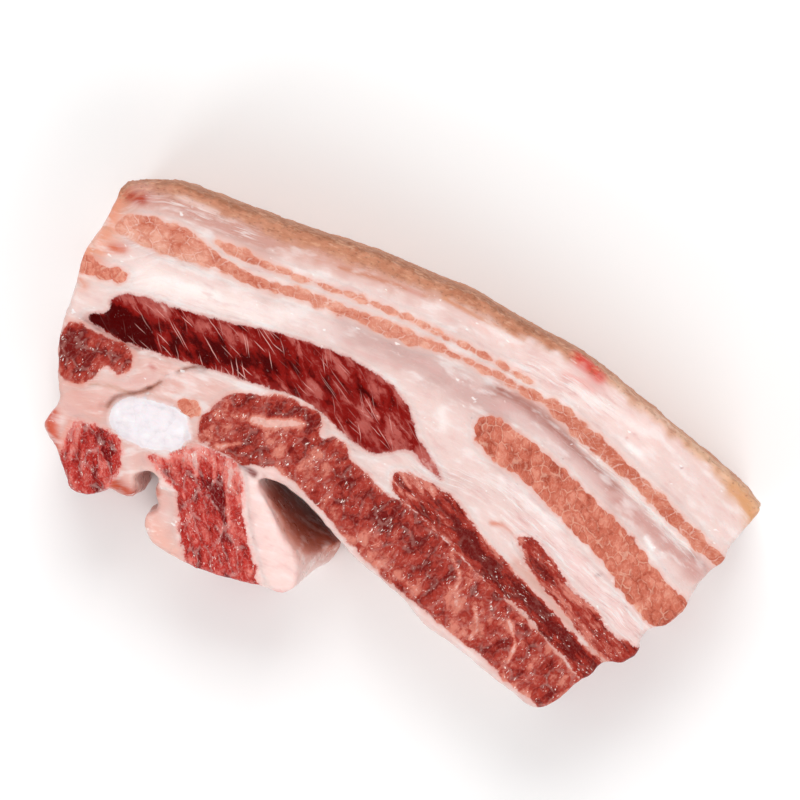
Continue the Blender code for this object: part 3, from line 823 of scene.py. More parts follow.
@dataclass
class Solid:
    """The strip as labelled points in space, and the faces between unlike ones.

    Attributes:
        surface: the shape in the drawing's plane.
        foot_levels: heights of the grid's points at the rounded foot.
        side_levels: the first and the end of those on the side walls, and the distance between them.
        face_levels: the same for those near the cut face.
        skin_reach: how much further the lean reaches where the fat is thin, by the strip's outside.
        settle_from: points above this height may be set to the cut face's exact height.
    """

    surface: Surface
    foot_levels: tuple[float, ...] = (-0.6, 0.6, 1.8, 3.2)
    side_levels: tuple[float, float, float] = (6.5, 25.0, 4.5)
    face_levels: tuple[float, float, float] = (27.6, 38.0, 0.8)
    skin_reach: float = 1.6
    settle_from: float = 20.0

    def __post_init__(self) -> None:
        """Labels each point of the grid, and finds the points and faces of the skins between labels."""
        runs = [np.arange(*self.side_levels), np.arange(*self.face_levels)]
        self.levels = np.concatenate([self.foot_levels, *runs])
        self.axes = [self.surface.x, self.surface.y, self.levels]
        self.field = self._field()
        self.labels = self._labels()
        self.points, self.faces, self.sides = self._skins()
        self.outer = (self.sides == 0).any(1)
        self._settle()
        self.normals = self._normals()

    def _field(self) -> Array:
        """Less than 0 inside the strip and more than 0 outside, in about millimetres.

        Returns:
            One value for each point of the grid in space.
        """
        surface, z = self.surface, self.levels[None, None, :]
        share = np.clip(z / THICKNESS, 0, 1)
        side = -(surface.foot[..., None] * (1 - share) + surface.top[..., None] * share)
        side = side + np.interp(z, *SIDE_INSET)
        x, y = surface.gx[..., None], surface.gy[..., None]
        upper = smoothstep(z, *UPPER)
        side = side + 0.18 * soft_noise(x, y, z, 5.0, 5) + 0.2 * upper * soft_noise(x, y, z, 1.5, 6)
        bumps = 0.6 * smoothstep(-surface.rind[..., None], -3.0, 0.0) * soft_noise(x, y, z, 1.2, 7)
        side = side + (0.5 + 0.5 * upper) * bumps
        return round_max(round_max(side, z - surface.height[..., None], TOP_ROUNDING), -z, FOOT_ROUNDING)

    def _labels(self) -> Array:
        """0 outside, 1 in the fat, and from 2 on the layers.

        Returns:
            One label for each point of the grid in space.
        """
        surface = self.surface
        labels = np.where(self.field < 0, 1, 0).astype(np.int8)
        for k, z in enumerate(self.levels):
            best = -RIM - self.skin_reach * smoothstep(-surface.top, -2.6, -0.8)
            for number, layer in enumerate(LAYERS, 2):
                depth = surface.layer_depth(layer, surface.gx, surface.gy, np.full(1, z))
                wins = (depth > best) & (labels[:, :, k] > 0)
                labels[:, :, k][wins] = number
                best = np.where(depth > best, depth, best)
        return labels

    def _skins(self) -> tuple[Array, Array, Array]:
        """The points and faces between unlike labels.

        Returns:
            The points, the faces as four points each, and the labels below and above each face.
        """
        labels = self.labels
        shape = tuple(n - 1 for n in labels.shape)
        mixed = np.zeros(shape, bool)
        for i, j, k in np.ndindex(2, 2, 2):
            near = labels[i : i + shape[0], j : j + shape[1], k : k + shape[2]]
            mixed |= near != labels[:-1, :-1, :-1]
        index = np.full(shape, -1)
        index[mixed] = np.arange(mixed.sum())
        total, count = np.zeros((*shape, 3)), np.zeros(shape)
        for axis in range(3):
            self._add_crossings(axis, total, count)
        walls = [self._walls(axis, index) for axis in range(3)]
        middle = np.stack(np.broadcast_arrays(*np.ix_(*[(a[1:] + a[:-1]) / 2 for a in self.axes])), -1)
        place = np.where(count[..., None] > 0, total / np.maximum(count, 1)[..., None], middle)
        return place[mixed], np.vstack([faces for faces, _ in walls]), np.vstack([pair for _, pair in walls])

    def _add_crossings(self, axis: int, total: Array, count: Array) -> None:
        """Adds to each cell the places where the strip's outside crosses the cell's edges along an axis.

        Args:
            axis: the edges' axis.
            total: sum of the places for each cell, which grows.
            count: their number, which grows.
        """
        low, high = sliced(axis, LOWER), sliced(axis, HIGHER)
        crossing = (self.labels[low] == 0) != (self.labels[high] == 0)
        drop = np.where(crossing, self.field[low] - self.field[high], 1)
        share = np.where(crossing, self.field[low] / drop, 0)
        at = np.stack(np.broadcast_arrays(*np.ix_(*self.axes)), -1)[low].astype(float)
        at[..., axis] += share * np.diff(self.axes[axis]).reshape([-1 if a == axis else 1 for a in range(3)])
        parts, take = (LOWER, HIGHER), [slice(None)] * 3
        for d1, d2 in CORNERS:
            take[(axis + 1) % 3], take[(axis + 2) % 3] = parts[d1], parts[d2]
            total += (at * crossing[..., None])[tuple(take)]
            count += crossing[tuple(take)]

    def _walls(self, axis: int, index: Array) -> tuple[Array, Array]:
        """The faces between points that are neighbours along an axis and have unlike labels.

        Args:
            axis: the neighbours' axis.
            index: number of each cell's point.

        Returns:
            The faces as four points each, and the labels below and above each face.
        """
        below, above = self.labels[sliced(axis, LOWER)], self.labels[sliced(axis, HIGHER)]
        first, second = (axis + 1) % 3, (axis + 2) % 3
        inner = [slice(None)] * 3
        inner[first] = inner[second] = slice(1, -1)
        found = np.argwhere((below != above)[tuple(inner)])
        found[:, [first, second]] += 1
        quad = []
        for d1, d2 in CORNERS:
            cell = found.copy()
            cell[:, first] += d1 - 1
            cell[:, second] += d2 - 1
            quad.append(index[tuple(cell.T)])
        return np.stack(quad, 1), np.stack([below[tuple(found.T)], above[tuple(found.T)]], 1)

    def _settle(self) -> None:
        """Sets each point of the upper cut face to its exact height, less so where it is steep."""
        surface, p = self.surface, self.points
        skin = np.zeros(len(p), bool)
        skin[self.faces[self.outer].ravel()] = True
        inside = surface.sample(surface.top, p[:, 0], p[:, 1]) > TOP_ROUNDING + 0.6
        face = skin & inside & (p[:, 2] > self.settle_from)
        slope = np.hypot(*np.gradient(surface.height, GRID_STEP))
        exact = surface.sample(surface.height, p[face, 0], p[face, 1])
        share = smoothstep(-surface.sample(slope, p[face, 0], p[face, 1]), -1.4, -0.7)
        p[face, 2] += share * (exact - p[face, 2])

    def _normals(self) -> Array:
        """The smooth outward normal of the outside at each point, and 0 inside the strip.

        Returns:
            One vector for each point.
        """
        faces = self.faces[self.outer].copy()
        flip = self.sides[self.outer][:, 0] == 0
        faces[flip] = faces[flip][:, ::-1]
        total, normal = np.zeros_like(self.points), self.crosses(faces)
        for corner in range(4):
            np.add.at(total, faces[:, corner], normal)
        return unit(total)

    def crosses(self, faces: Array) -> Array:
        """The cross product of each face's diagonals."""
        p = self.points[faces]
        return np.cross(p[:, 2] - p[:, 0], p[:, 3] - p[:, 1])


def unit(vectors: Array) -> Array:
    """The vectors at length 1."""
    return vectors / np.maximum(np.linalg.norm(vectors, axis=1), 1e-9)[:, None]


@dataclass(frozen=True)
class Patch:
    """A soft-edged patch of colour on the fat or the rind.

    Attributes:
        line: points along its middle.
        width: how far from its middle it has faded to about a third.
        colour: its sRGB colour, from 0 to 255.
        strength: its share in its middle.
    """

    line: Points
    width: float
    colour: tuple[int, int, int]
    strength: float = 1.0


FAT_WHITE = linear(234, 206, 200)
FAT_SHADE = linear(216, 180, 173)
RIND_TAN = linear(198, 134, 104)
RIND_DEEP = linear(180, 112, 82)
RIND_INNER = linear(206, 146, 128)
FASCIA = linear(224, 172, 161)
RIND_PALE = linear(244, 204, 173)
RIND_EDGE = linear(150, 96, 68)
BLUSH = linear(236, 196, 180)
NOTCH = linear(210, 124, 92)
# painted shade deep in the notch between the flap and the rib side
NOTCH_PAINTED_SHADE = linear(160, 64, 36)
# The rind's width on the cut face, by x.
RIND_WIDTH = ((-80, -40, -20, 0, 20, 40, 60, 76, 82), (4.8, 5.8, 6.0, 5.0, 4.0, 2.6, 2.4, 3.0, 4.0))

PATCHES = [
    # the rind's left corner and the strip under it
    Patch([(-76, 26.6), (-64, 27.6), (-52, 28.4), (-44, 29.2)], 2.4, (204, 152, 140), 0.9),
    Patch([(-77.4, 24.8), (-76.2, 25), (-74.6, 25.6)], 1.3, (176, 66, 42), 1),
    # a painted highlight: a thin pale line of wet sheen on the strip under the rind
    Patch([(-68, 29.6), (-58, 30.6)], 0.6, (244, 220, 214), 0.6),
    # brown streaks along the rind's inner edge
    Patch([(-28, 32.2), (-16, 34.4), (-8, 35.2)], 0.5, (196, 116, 78), 0.7),
    Patch([(-4, 36.8), (6, 36.4), (16, 36.6)], 0.5, (206, 124, 76), 0.8),
    # the red stain of the rind
    Patch([(29, 38.6), (32.2, 37.8), (35, 36.8)], 1.8, (212, 60, 44), 1),
    Patch([(28, 33.6), (31, 34.2), (35, 33.4)], 0.9, (228, 120, 108), 0.7),
    # specks in the fat
    Patch([(47.9, 29.1), (48, 29.2)], 0.28, (160, 40, 46), 0.7),
    Patch([(46.6, 27.6), (46.7, 27.7)], 0.28, (180, 60, 64), 0.6),
    Patch([(60.6, 27.1), (60.7, 27.2)], 0.3, (160, 40, 44), 0.8),
    Patch([(55, -2.9), (55.6, -2.6)], 0.4, (110, 62, 62), 0.7),
    # the rind's right corner
    Patch([(73, 28.4), (77, 26.8), (80, 24.2)], 2, (216, 152, 98), 0.9),
    # painted shade: the grey fat beside the inner row, and the ledge's shadow on the fat under it
    Patch([(-20, 20.5), (-6, 21.2), (8, 20.6), (20, 19.5)], 3.6, (206, 168, 162), 0.95),
    Patch([(-36, 16.8), (-22, 18.2)], 2.6, (232, 208, 204), 0.6),
    Patch([(16, 24.2), (24, 23.6), (34, 21.2), (42, 18.8), (50, 16.8)], 2.2, (170, 100, 86), 0.95),
    Patch([(20, 21.4), (34, 19.2), (46, 16.2)], 1.8, (224, 192, 188), 0.5),
    Patch([(52, 14.4), (64, 11.6), (75, 8.2)], 2.8, (200, 146, 138), 0.85),
    # rosy and pale fat
    Patch([(-68, -20), (-62, -21.4)], 3, (222, 160, 148), 0.5),
    Patch([(62, 8.2), (70, 5)], 1, (240, 216, 212), 0.5),
    Patch([(20, 30.2), (36, 31.5), (52, 30)], 4, (246, 214, 208), 0.6),
    Patch([(4, 34.6), (16, 34.8)], 0.9, (240, 200, 192), 0.6),
    # the left edge
    Patch([(-79.6, 21), (-78, 15), (-79.6, 9)], 2.8, (228, 146, 114), 0.85),
    Patch([(-75.8, 12.6), (-73.4, 13.6)], 1.2, (210, 106, 72), 0.95),
    Patch([(-66, 9.6), (-50, 12.6), (-36, 15.2)], 3, (252, 238, 234), 0.6),
    Patch([(-80, 6), (-79, 3.2), (-77.5, 2.4)], 1.3, (226, 150, 128), 0.75),
    # stained fat between the layers of lean
    Patch([(28.6, -3.4), (31, -2.4), (34.6, -3)], 0.7, (216, 128, 100), 0.8),
    Patch([(38, -8.8), (50, -13.6), (62, -18.6), (70, -21.4)], 1.5, (218, 158, 142), 0.75),
    Patch([(40, -17.8), (50, -21.4), (62, -26)], 1.2, (216, 142, 126), 0.9),
    Patch([(-28, -0.6), (-20, 3.4), (-14, -1)], 1, (222, 164, 150), 0.5),
    Patch([(36, -1), (46, -2.2), (56, -6.2), (68, -10)], 3, (244, 208, 204), 0.6),
    # the torn end
    Patch([(-70.5, -27), (-68, -31), (-64.5, -35), (-62, -38.5)], 1.3, (214, 112, 88), 0.8),
    Patch([(-71.2, -27.2), (-69.8, -30.2), (-67.2, -33)], 1.4, (204, 78, 48), 1),
    Patch([(-66.5, -26.5), (-65.6, -31), (-63.6, -35)], 0.9, (228, 150, 134), 0.7),
    Patch([(-51.4, -34.6), (-48.4, -34.6), (-46.6, -35.4)], 1.8, (190, 80, 54), 1),
    # the flap
    Patch([(-47.6, -31.4), (-45, -28.6), (-42, -30.2)], 1.4, (240, 204, 194), 0.7),
    Patch([(-40, -39.4), (-36, -41.5), (-32, -43)], 2.2, (238, 180, 164), 0.8),
    Patch([(-42.6, -30.6), (-41.4, -32.4)], 0.8, (196, 96, 70), 0.8),
    Patch([(-41.6, -34), (-41.2, -36.5)], 0.8, (220, 140, 118), 0.8),
    Patch([(-21, -21.4), (-13.4, -30.6), (-7, -37.6)], 4.4, (255, 218, 212), 0.95),
    Patch([(-8, -41), (-5.6, -40)], 1, (212, 60, 46), 0.8),
    # darker lines along the creases: partly their own brown colour, partly painted shade in them
    Patch([(-56, -7), (-55, -7.3)], 0.6, (196, 90, 86), 0.6),
    Patch([(-45, -2), (-48, -3.5), (-50, -5.7)], 0.36, (150, 84, 62), 0.9),
    Patch([(-52.4, -9.4), (-54, -12), (-56.5, -14.5)], 0.42, (160, 92, 68), 0.9),
    Patch([(-57, -14.8), (-60, -17.4), (-60.4, -19.6)], 0.6, (150, 84, 58), 0.85),
    Patch([(-66, -17), (-62, -15.3), (-57, -14.8)], 0.4, (196, 140, 116), 0.6),
    Patch([(-74, -4.6), (-66, -5.4), (-60, -5)], 0.5, (120, 50, 44), 0.6),
    Patch([(-27.6, -17.6), (-24, -18.2)], 0.7, (120, 26, 22), 0.9),
    # grey on the rib end, along its groove and at its left end
    Patch([(-56.2, -17.6), (-54.6, -21.4)], 0.7, (206, 206, 216), 0.7),
    Patch([(-53.8, -14.2), (-53, -17.4), (-52, -20.4), (-50.8, -23.6)], 0.4, (206, 200, 212), 0.8),
    Patch([(-43, -14.6), (-45.4, -14.2)], 0.6, (232, 208, 212), 0.6),
    # the whitest fat, and two painted wet highlights: the small spots at (61, 9.6) and (48, 26.4)
    Patch([(61, 9.6), (63.4, 8)], 0.6, (255, 250, 248), 0.8),
    Patch([(48, 26.4), (51, 25.6)], 0.7, (255, 250, 248), 0.7),
    Patch([(30, 32.2), (42, 31.4), (50, 30.4)], 1.1, (254, 240, 236), 0.6),
    Patch([(38, 21.6), (48, 18.9), (58, 15.6), (70, 11.8)], 1, (252, 232, 226), 0.85),
    Patch([(-64, 11), (-58, 12.4), (-50, 14)], 1.5, (252, 244, 240), 0.6),
    Patch([(26, 6.6), (34, 5), (42, 2.6)], 1.1, (253, 240, 238), 0.6),
    Patch([(7, 14), (9, 11)], 1.1, (252, 242, 238), 0.6),
]


# Where long pale strands show.
SILK = [
    Stroke([(34, 1), (50, -4.5), (66, -9), (76, -11.5)], 4),
    Stroke([(-60, 3), (-50, 4), (-36, 5)], 6),
    Stroke([(-20, 7), (-6, 4.6)], 4.4),
    Stroke([(-74, 17), (-66, 17.2), (-58, 18.2)], 1.6),
    Stroke([(36, 21.8), (48, 18.8), (58, 15.4), (72, 11.2)], 1.4),
    Stroke([(20, 32), (40, 32)], 3),
    Stroke([(-72, 28.5), (-50, 30)], 2),
    Stroke([(10, 0), (30, 4.5)], 2.5),
    Stroke([(6, -12.6), (13, -14.2), (20, -16.6)], 2.2),
    Stroke([(30, -23.5), (41, -27.5)], 2.2),
    Stroke([(50, -24), (59, -30)], 3),
    Stroke([(-16, -6.5), (-8, -10)], 2.6),
    Stroke([(-35, -12), (-24, -10.5)], 2),
    Stroke([(-35, -21), (-30, -26), (-27, -34)], 4),
    Stroke([(-60, -32), (-55, -37)], 3),
    Stroke([(-72, -12), (-68, -16)], 2.4),
]


@dataclass
class Canvas:
    """One colour for each point, which turns towards others."""

    colour: Array

    def mix(self, share: Array, other: Colour) -> None:
        """Turns the colours by a share, from 0 to 1, towards another."""
        share = np.clip(share, 0, 1)[:, None]
        self.colour = self.colour * (1 - share) + np.array(other) * share


@dataclass
class Paint:
    """The colours of the fat and the rind, and the tones of the lean.

    Attributes:
        surface: the shape that the colours follow.
        patch_heights: the patches set in between these heights.
        swell_heights: so do the swells.
        silk_least: how much the long strands show away from their strokes.
        silk_most: how much more they show on them.
    """

    surface: Surface
    patch_heights: tuple[float, float] = (25.0, 32.0)
    swell_heights: tuple[float, float] = (24.0, 31.0)
    silk_least: float = 0.1
    silk_most: float = 0.9

    def tint(self, points: Array) -> tuple[Array, Array]:
        """The fat's colour at each point, with its painted shade and highlights, and how much it is rind.

        Args:
            points: places in the drawing.

        Returns:
            One colour and one share of rind, from 0 to 1, for each point.
        """
        x, y, z = points.T
        canvas = Canvas(np.tile(FAT_WHITE, (len(points), 1)))
        wide = soft_noise(x, y, z, 9.0, 61)
        fine = soft_noise(x, y, z, 2.2, 62) * (0.25 + 0.75 * smoothstep(z, *UPPER))
        canvas.mix(0.45 * smoothstep(wide + 0.4 * fine, 0.0, 1.0), FAT_SHADE)
        fascia = smoothstep(-y - 1.5 + 0.05 * x, -2.0, 1.0) * smoothstep(-x, 20.0, 40.0)
        canvas.mix(0.8 * fascia * (0.8 + 0.4 * fine), FASCIA)
        canvas.mix(0.4 * smoothstep(-x, 72.0, 80.0) * smoothstep(y, -4.0, 6.0), BLUSH)
        rind = self._rind(canvas, points, wide, fine)
        self._notch(canvas, points)
        for patch in PATCHES:
            near = self._near(patch, x, y, fine) * smoothstep(z, *self.patch_heights)
            canvas.mix(patch.strength * near, linear(*patch.colour))
        return canvas.colour, rind

    def _rind(self, canvas: Canvas, points: Array, wide: Array, fine: Array) -> Array:
        """Paints the rind, its rosy inner side, its pale right end and its dark outer edge.

        Args:
            canvas: the colours.
            points: places in the drawing.
            wide: large noise at each point.
            fine: small noise at each point.

        Returns:
            How much each point is rind.
        """
        x, y, z = points.T
        small = soft_noise(x, y, z, 0.9, 63) * smoothstep(z, *UPPER)
        away = self.surface.sample(self.surface.rind, x, y)
        width = np.interp(x, *RIND_WIDTH)
        inner = smoothstep(width + 1.2 + 0.9 * fine - away, -1.6, 2.2)
        canvas.mix(0.8 * inner * smoothstep(-x, -10.0, 30.0), RIND_INNER)
        rind = smoothstep(0.72 * width + 0.9 * fine + 0.3 * small - away, -1.1, 1.5)
        canvas.mix(rind, RIND_TAN)
        canvas.mix(0.85 * rind * smoothstep(x, 20.0, 50.0) * smoothstep(z, 20.0, 31.0), RIND_PALE)
        deep = smoothstep(fine + 0.7 * wide, -0.1, 0.9) * smoothstep(-away, -4.0, -1.4)
        canvas.mix(0.7 * rind * deep, RIND_DEEP)
        edge = smoothstep(0.9 + 0.6 * small - away, -0.4, 0.7)
        edge = edge * (0.3 + 0.7 * smoothstep(z, 12.0, 22.0))
        canvas.mix((0.75 - 0.4 * smoothstep(x, 10.0, 50.0)) * edge, RIND_EDGE)
        return rind

    @staticmethod
    def _notch(canvas: Canvas, points: Array) -> None:
        """Paints the walls of the notch between the flap and the rib side, and painted shade on them that
        turns them darker and redder towards the foot, where the gap is deep.

        Args:
            canvas: the colours.
            points: places in the drawing.
        """
        x, y, z = points.T
        notch = smoothstep(y, -34.0, -26.0) * smoothstep(-19.0 - y, -3.0, 0.0)
        notch = notch * smoothstep(x, -22.0, -17.0) * smoothstep(-x, -6.0, -1.0)
        canvas.mix(0.85 * notch * smoothstep(-z, -33.0, -30.0), NOTCH)
        # painted shade, darker and redder towards the foot where the gap is deep
        canvas.mix(0.62 * notch * smoothstep(-z, -31.5, -24.0), NOTCH_PAINTED_SHADE)

    def tone(self, node: str, points: Array) -> Array:
        """How much lighter or darker a layer is than the rest of its kind, at each point."""
        return self._sum(TONES.get(node, []), points, soft_noise(*points.T, 2.2, 64))

    def swell(self, points: Array) -> Array:
        """How much further the lean reaches at each point, in millimetres, near the upper cut face."""
        total = self._sum(SWELLS, points, soft_noise(*points.T, 1.6, 65))
        return total * smoothstep(points[:, 2], *self.swell_heights)

    def silk(self, points: Array) -> Array:
        """How much long pale strands show at each point."""
        strokes = self._sum(SILK, points, np.zeros(len(points)))
        return np.clip(self.silk_least + self.silk_most * strokes, 0, 1)

    def _sum(self, strokes: list[Stroke], points: Array, ragged: Array) -> Array:
        """What some strokes do together at each point.

        Args:
            strokes: the strokes.
            points: places in the drawing.
            ragged: noise that their edges follow.

        Returns:
            The sum of their amounts, each as strong as the stroke is there.
        """
        total = np.zeros(len(points))
        for stroke in strokes:
            total += stroke.amount * self._near(stroke, points[:, 0], points[:, 1], ragged)
        return total

    @staticmethod
    def _near(stroke: Patch | Stroke, x: Array, y: Array, ragged: Array) -> Array:
        """A stroke's strength at each point.

        Args:
            stroke: the stroke or patch.
            x: first coordinate of each point.
            y: second coordinate of each point.
            ragged: noise that its edge follows.

        Returns:
            1 on its line, and down to 0 far from it.
        """
        straight = len(stroke.line) == 2
        line = np.array(stroke.line, float) if straight else rounded(stroke.line, 0.8, closed=False)
        low, high = line.min(0) - 3 * stroke.width, line.max(0) + 3 * stroke.width
        near = (x > low[0]) & (x < high[0]) & (y > low[1]) & (y < high[1])
        share = np.zeros(len(x))
        gone = distance_to(x[near], y[near], line, False) / stroke.width + 0.35 * ragged[near]
        share[near] = np.exp(-np.maximum(gone, 0) ** 2)
        return share


# --------------------------------------------------------------------------------------------- materials


class Nodes:
    """A material's node tree, with short calls for the nodes that the finishes use."""

    def __init__(self, tree: bpy.types.NodeTree) -> None:
        """Keeps the tree, the place in millimetres, and the place that follows the rind.

        Args:
            tree: the material's node tree.
        """
        self.tree = tree
        coordinates = self.add("ShaderNodeTexCoord")
        scaled = self.add("ShaderNodeVectorMath", operation="SCALE")
        self.join(coordinates.outputs["Object"], scaled.inputs[0])
        scaled.inputs["Scale"].default_value = 1 / MM
        self.place = scaled.outputs[0]
        self.course = self.add("ShaderNodeAttribute", attribute_name="flow").outputs["Vector"]

    def add(self, kind: str, **settings: object) -> bpy.types.Node:
        """A new node of that kind with the given settings.

        Args:
            kind: the node's type.
            **settings: its properties, by name.

        Returns:
            The node.
        """
        node = self.tree.nodes.new(kind)
        for name, value in settings.items():
            setattr(node, name, value)
        return node

    def join(self, source: object, socket: bpy.types.NodeSocket) -> None:
        """Feeds an input.

        Args:
            source: the output to link, or a plain value or colour to set.
            socket: the input.
        """
        if isinstance(source, bpy.types.NodeSocket):
            self.tree.links.new(source, socket)
        else:
            if socket.type == "RGBA" and len(source) == 3:
                source = (*source, 1.0)
            socket.default_value = source

    def math(self, operation: str, a: object, b: object = 0.0, c: object = 0.0) -> bpy.types.NodeSocket:
        """One arithmetic operation.

        Args:
            operation: the math node's name for it.
            a: its first value.
            b: its second value.
            c: its third value, where it has one.

        Returns:
            The result.
        """
        node = self.add("ShaderNodeMath", operation=operation)
        for source, socket in zip((a, b, c), node.inputs):
            self.join(source, socket)
        return node.outputs[0]

    def ramp(self, value: object, low: float, high: float, to: tuple = (0.0, 1.0)) -> bpy.types.NodeSocket:
        """A smooth ramp of a value.

        Args:
            value: what is ramped.
            low: the value at which the ramp starts.
            high: the value at which it ends, less than low where it runs down.
            to: what it gives at its start and at its end.

        Returns:
            The ramped value.
        """
        node = self.add("ShaderNodeMapRange", interpolation_type="SMOOTHSTEP")
        for source, socket in zip((value, low, high, *to), node.inputs):
            self.join(source, socket)
        return node.outputs[0]

    def mix(self, share: object, a: object, b: object) -> bpy.types.NodeSocket:
        """One colour turned towards another.

        Args:
            share: how far, from 0 to 1.
            a: the first colour.
            b: the other one.

        Returns:
            The colour between them.
        """
        node = self.add("ShaderNodeMix", data_type="RGBA")
        for source, socket in ((share, node.inputs[0]), (a, node.inputs[6]), (b, node.inputs[7])):
            self.join(source, socket)
        return node.outputs[2]

    def product(self, first: object, *others: object) -> bpy.types.NodeSocket:
        """The product of some values."""
        for other in others:
            first = self.math("MULTIPLY", first, other)
        return first

    def attribute(self, name: str, colour: bool = False) -> bpy.types.NodeSocket:
        """A value or colour that the mesh carries."""
        node = self.add("ShaderNodeAttribute", attribute_name=name)
        return node.outputs["Color" if colour else "Fac"]

    def flow(self, sizes: tuple, angle_deg: float = 0.0) -> bpy.types.NodeSocket:
        """The place along the rind, away from it and up, turned and in units of the sizes."""
        return self.turned(self.course, angle_deg, sizes)

    def turned(self, place: object, angle_deg: float, sizes: tuple) -> bpy.types.NodeSocket:
        """The place in another frame.

        Args:
            place: the place in millimetres.
            angle_deg: the frame's turn about z.
            sizes: the frame's units along its axes.

        Returns:
            The place in that frame.
        """
        node = self.add("ShaderNodeMapping", vector_type="TEXTURE")
        self.join(place, node.inputs["Vector"])
        node.inputs["Rotation"].default_value = (0, 0, math.radians(angle_deg))
        node.inputs["Scale"].default_value = sizes
        return node.outputs[0]

    def noise(
        self, place: object, size: float = 1.0, detail: float = 2.0, rough: float = 0.6, output: str = "Fac"
    ) -> bpy.types.NodeSocket:
        """Noise.

        Args:
            place: where it is looked up.
            size: width of a lump.
            detail: how many times finer lumps are added.
            rough: how much those count.
            output: "Fac" for one value, or "Color" for three.

        Returns:
            The noise, from 0 to 1.
        """
        node = self.add("ShaderNodeTexNoise")
        self.join(place, node.inputs["Vector"])
        node.inputs["Scale"].default_value = 1 / size
        node.inputs["Detail"].default_value = detail
        node.inputs["Roughness"].default_value = rough
        return node.outputs[output]

    def warped(self, place: object, size: float, reach: float) -> bpy.types.NodeSocket:
        """The place, pushed about.

        Args:
            place: the place in millimetres.
            size: width of the noise's lumps.
            reach: how far it may be pushed.

        Returns:
            The new place.
        """
        centred = self.add("ShaderNodeVectorMath", operation="SUBTRACT")
        self.join(self.noise(place, size, 1.0, 0.5, "Color"), centred.inputs[0])
        centred.inputs[1].default_value = (0.5, 0.5, 0.5)
        node = self.add("ShaderNodeVectorMath", operation="MULTIPLY_ADD")
        self.join(centred.outputs[0], node.inputs[0])
        node.inputs[1].default_value = (2 * reach,) * 3
        self.join(place, node.inputs[2])
        return node.outputs[0]

    def voronoi(self, place: object, feature: str = "F1", flat: bool = False) -> bpy.types.Node:
        """Cells of about unit size.

        Args:
            place: where they are looked up.
            feature: what is measured, by the node's own name.
            flat: whether they run straight down.

        Returns:
            The node.
        """
        node = self.add("ShaderNodeTexVoronoi", feature=feature, voronoi_dimensions="2D" if flat else "3D")
        self.join(place, node.inputs["Vector"])
        node.inputs["Scale"].default_value = 1.0
        return node


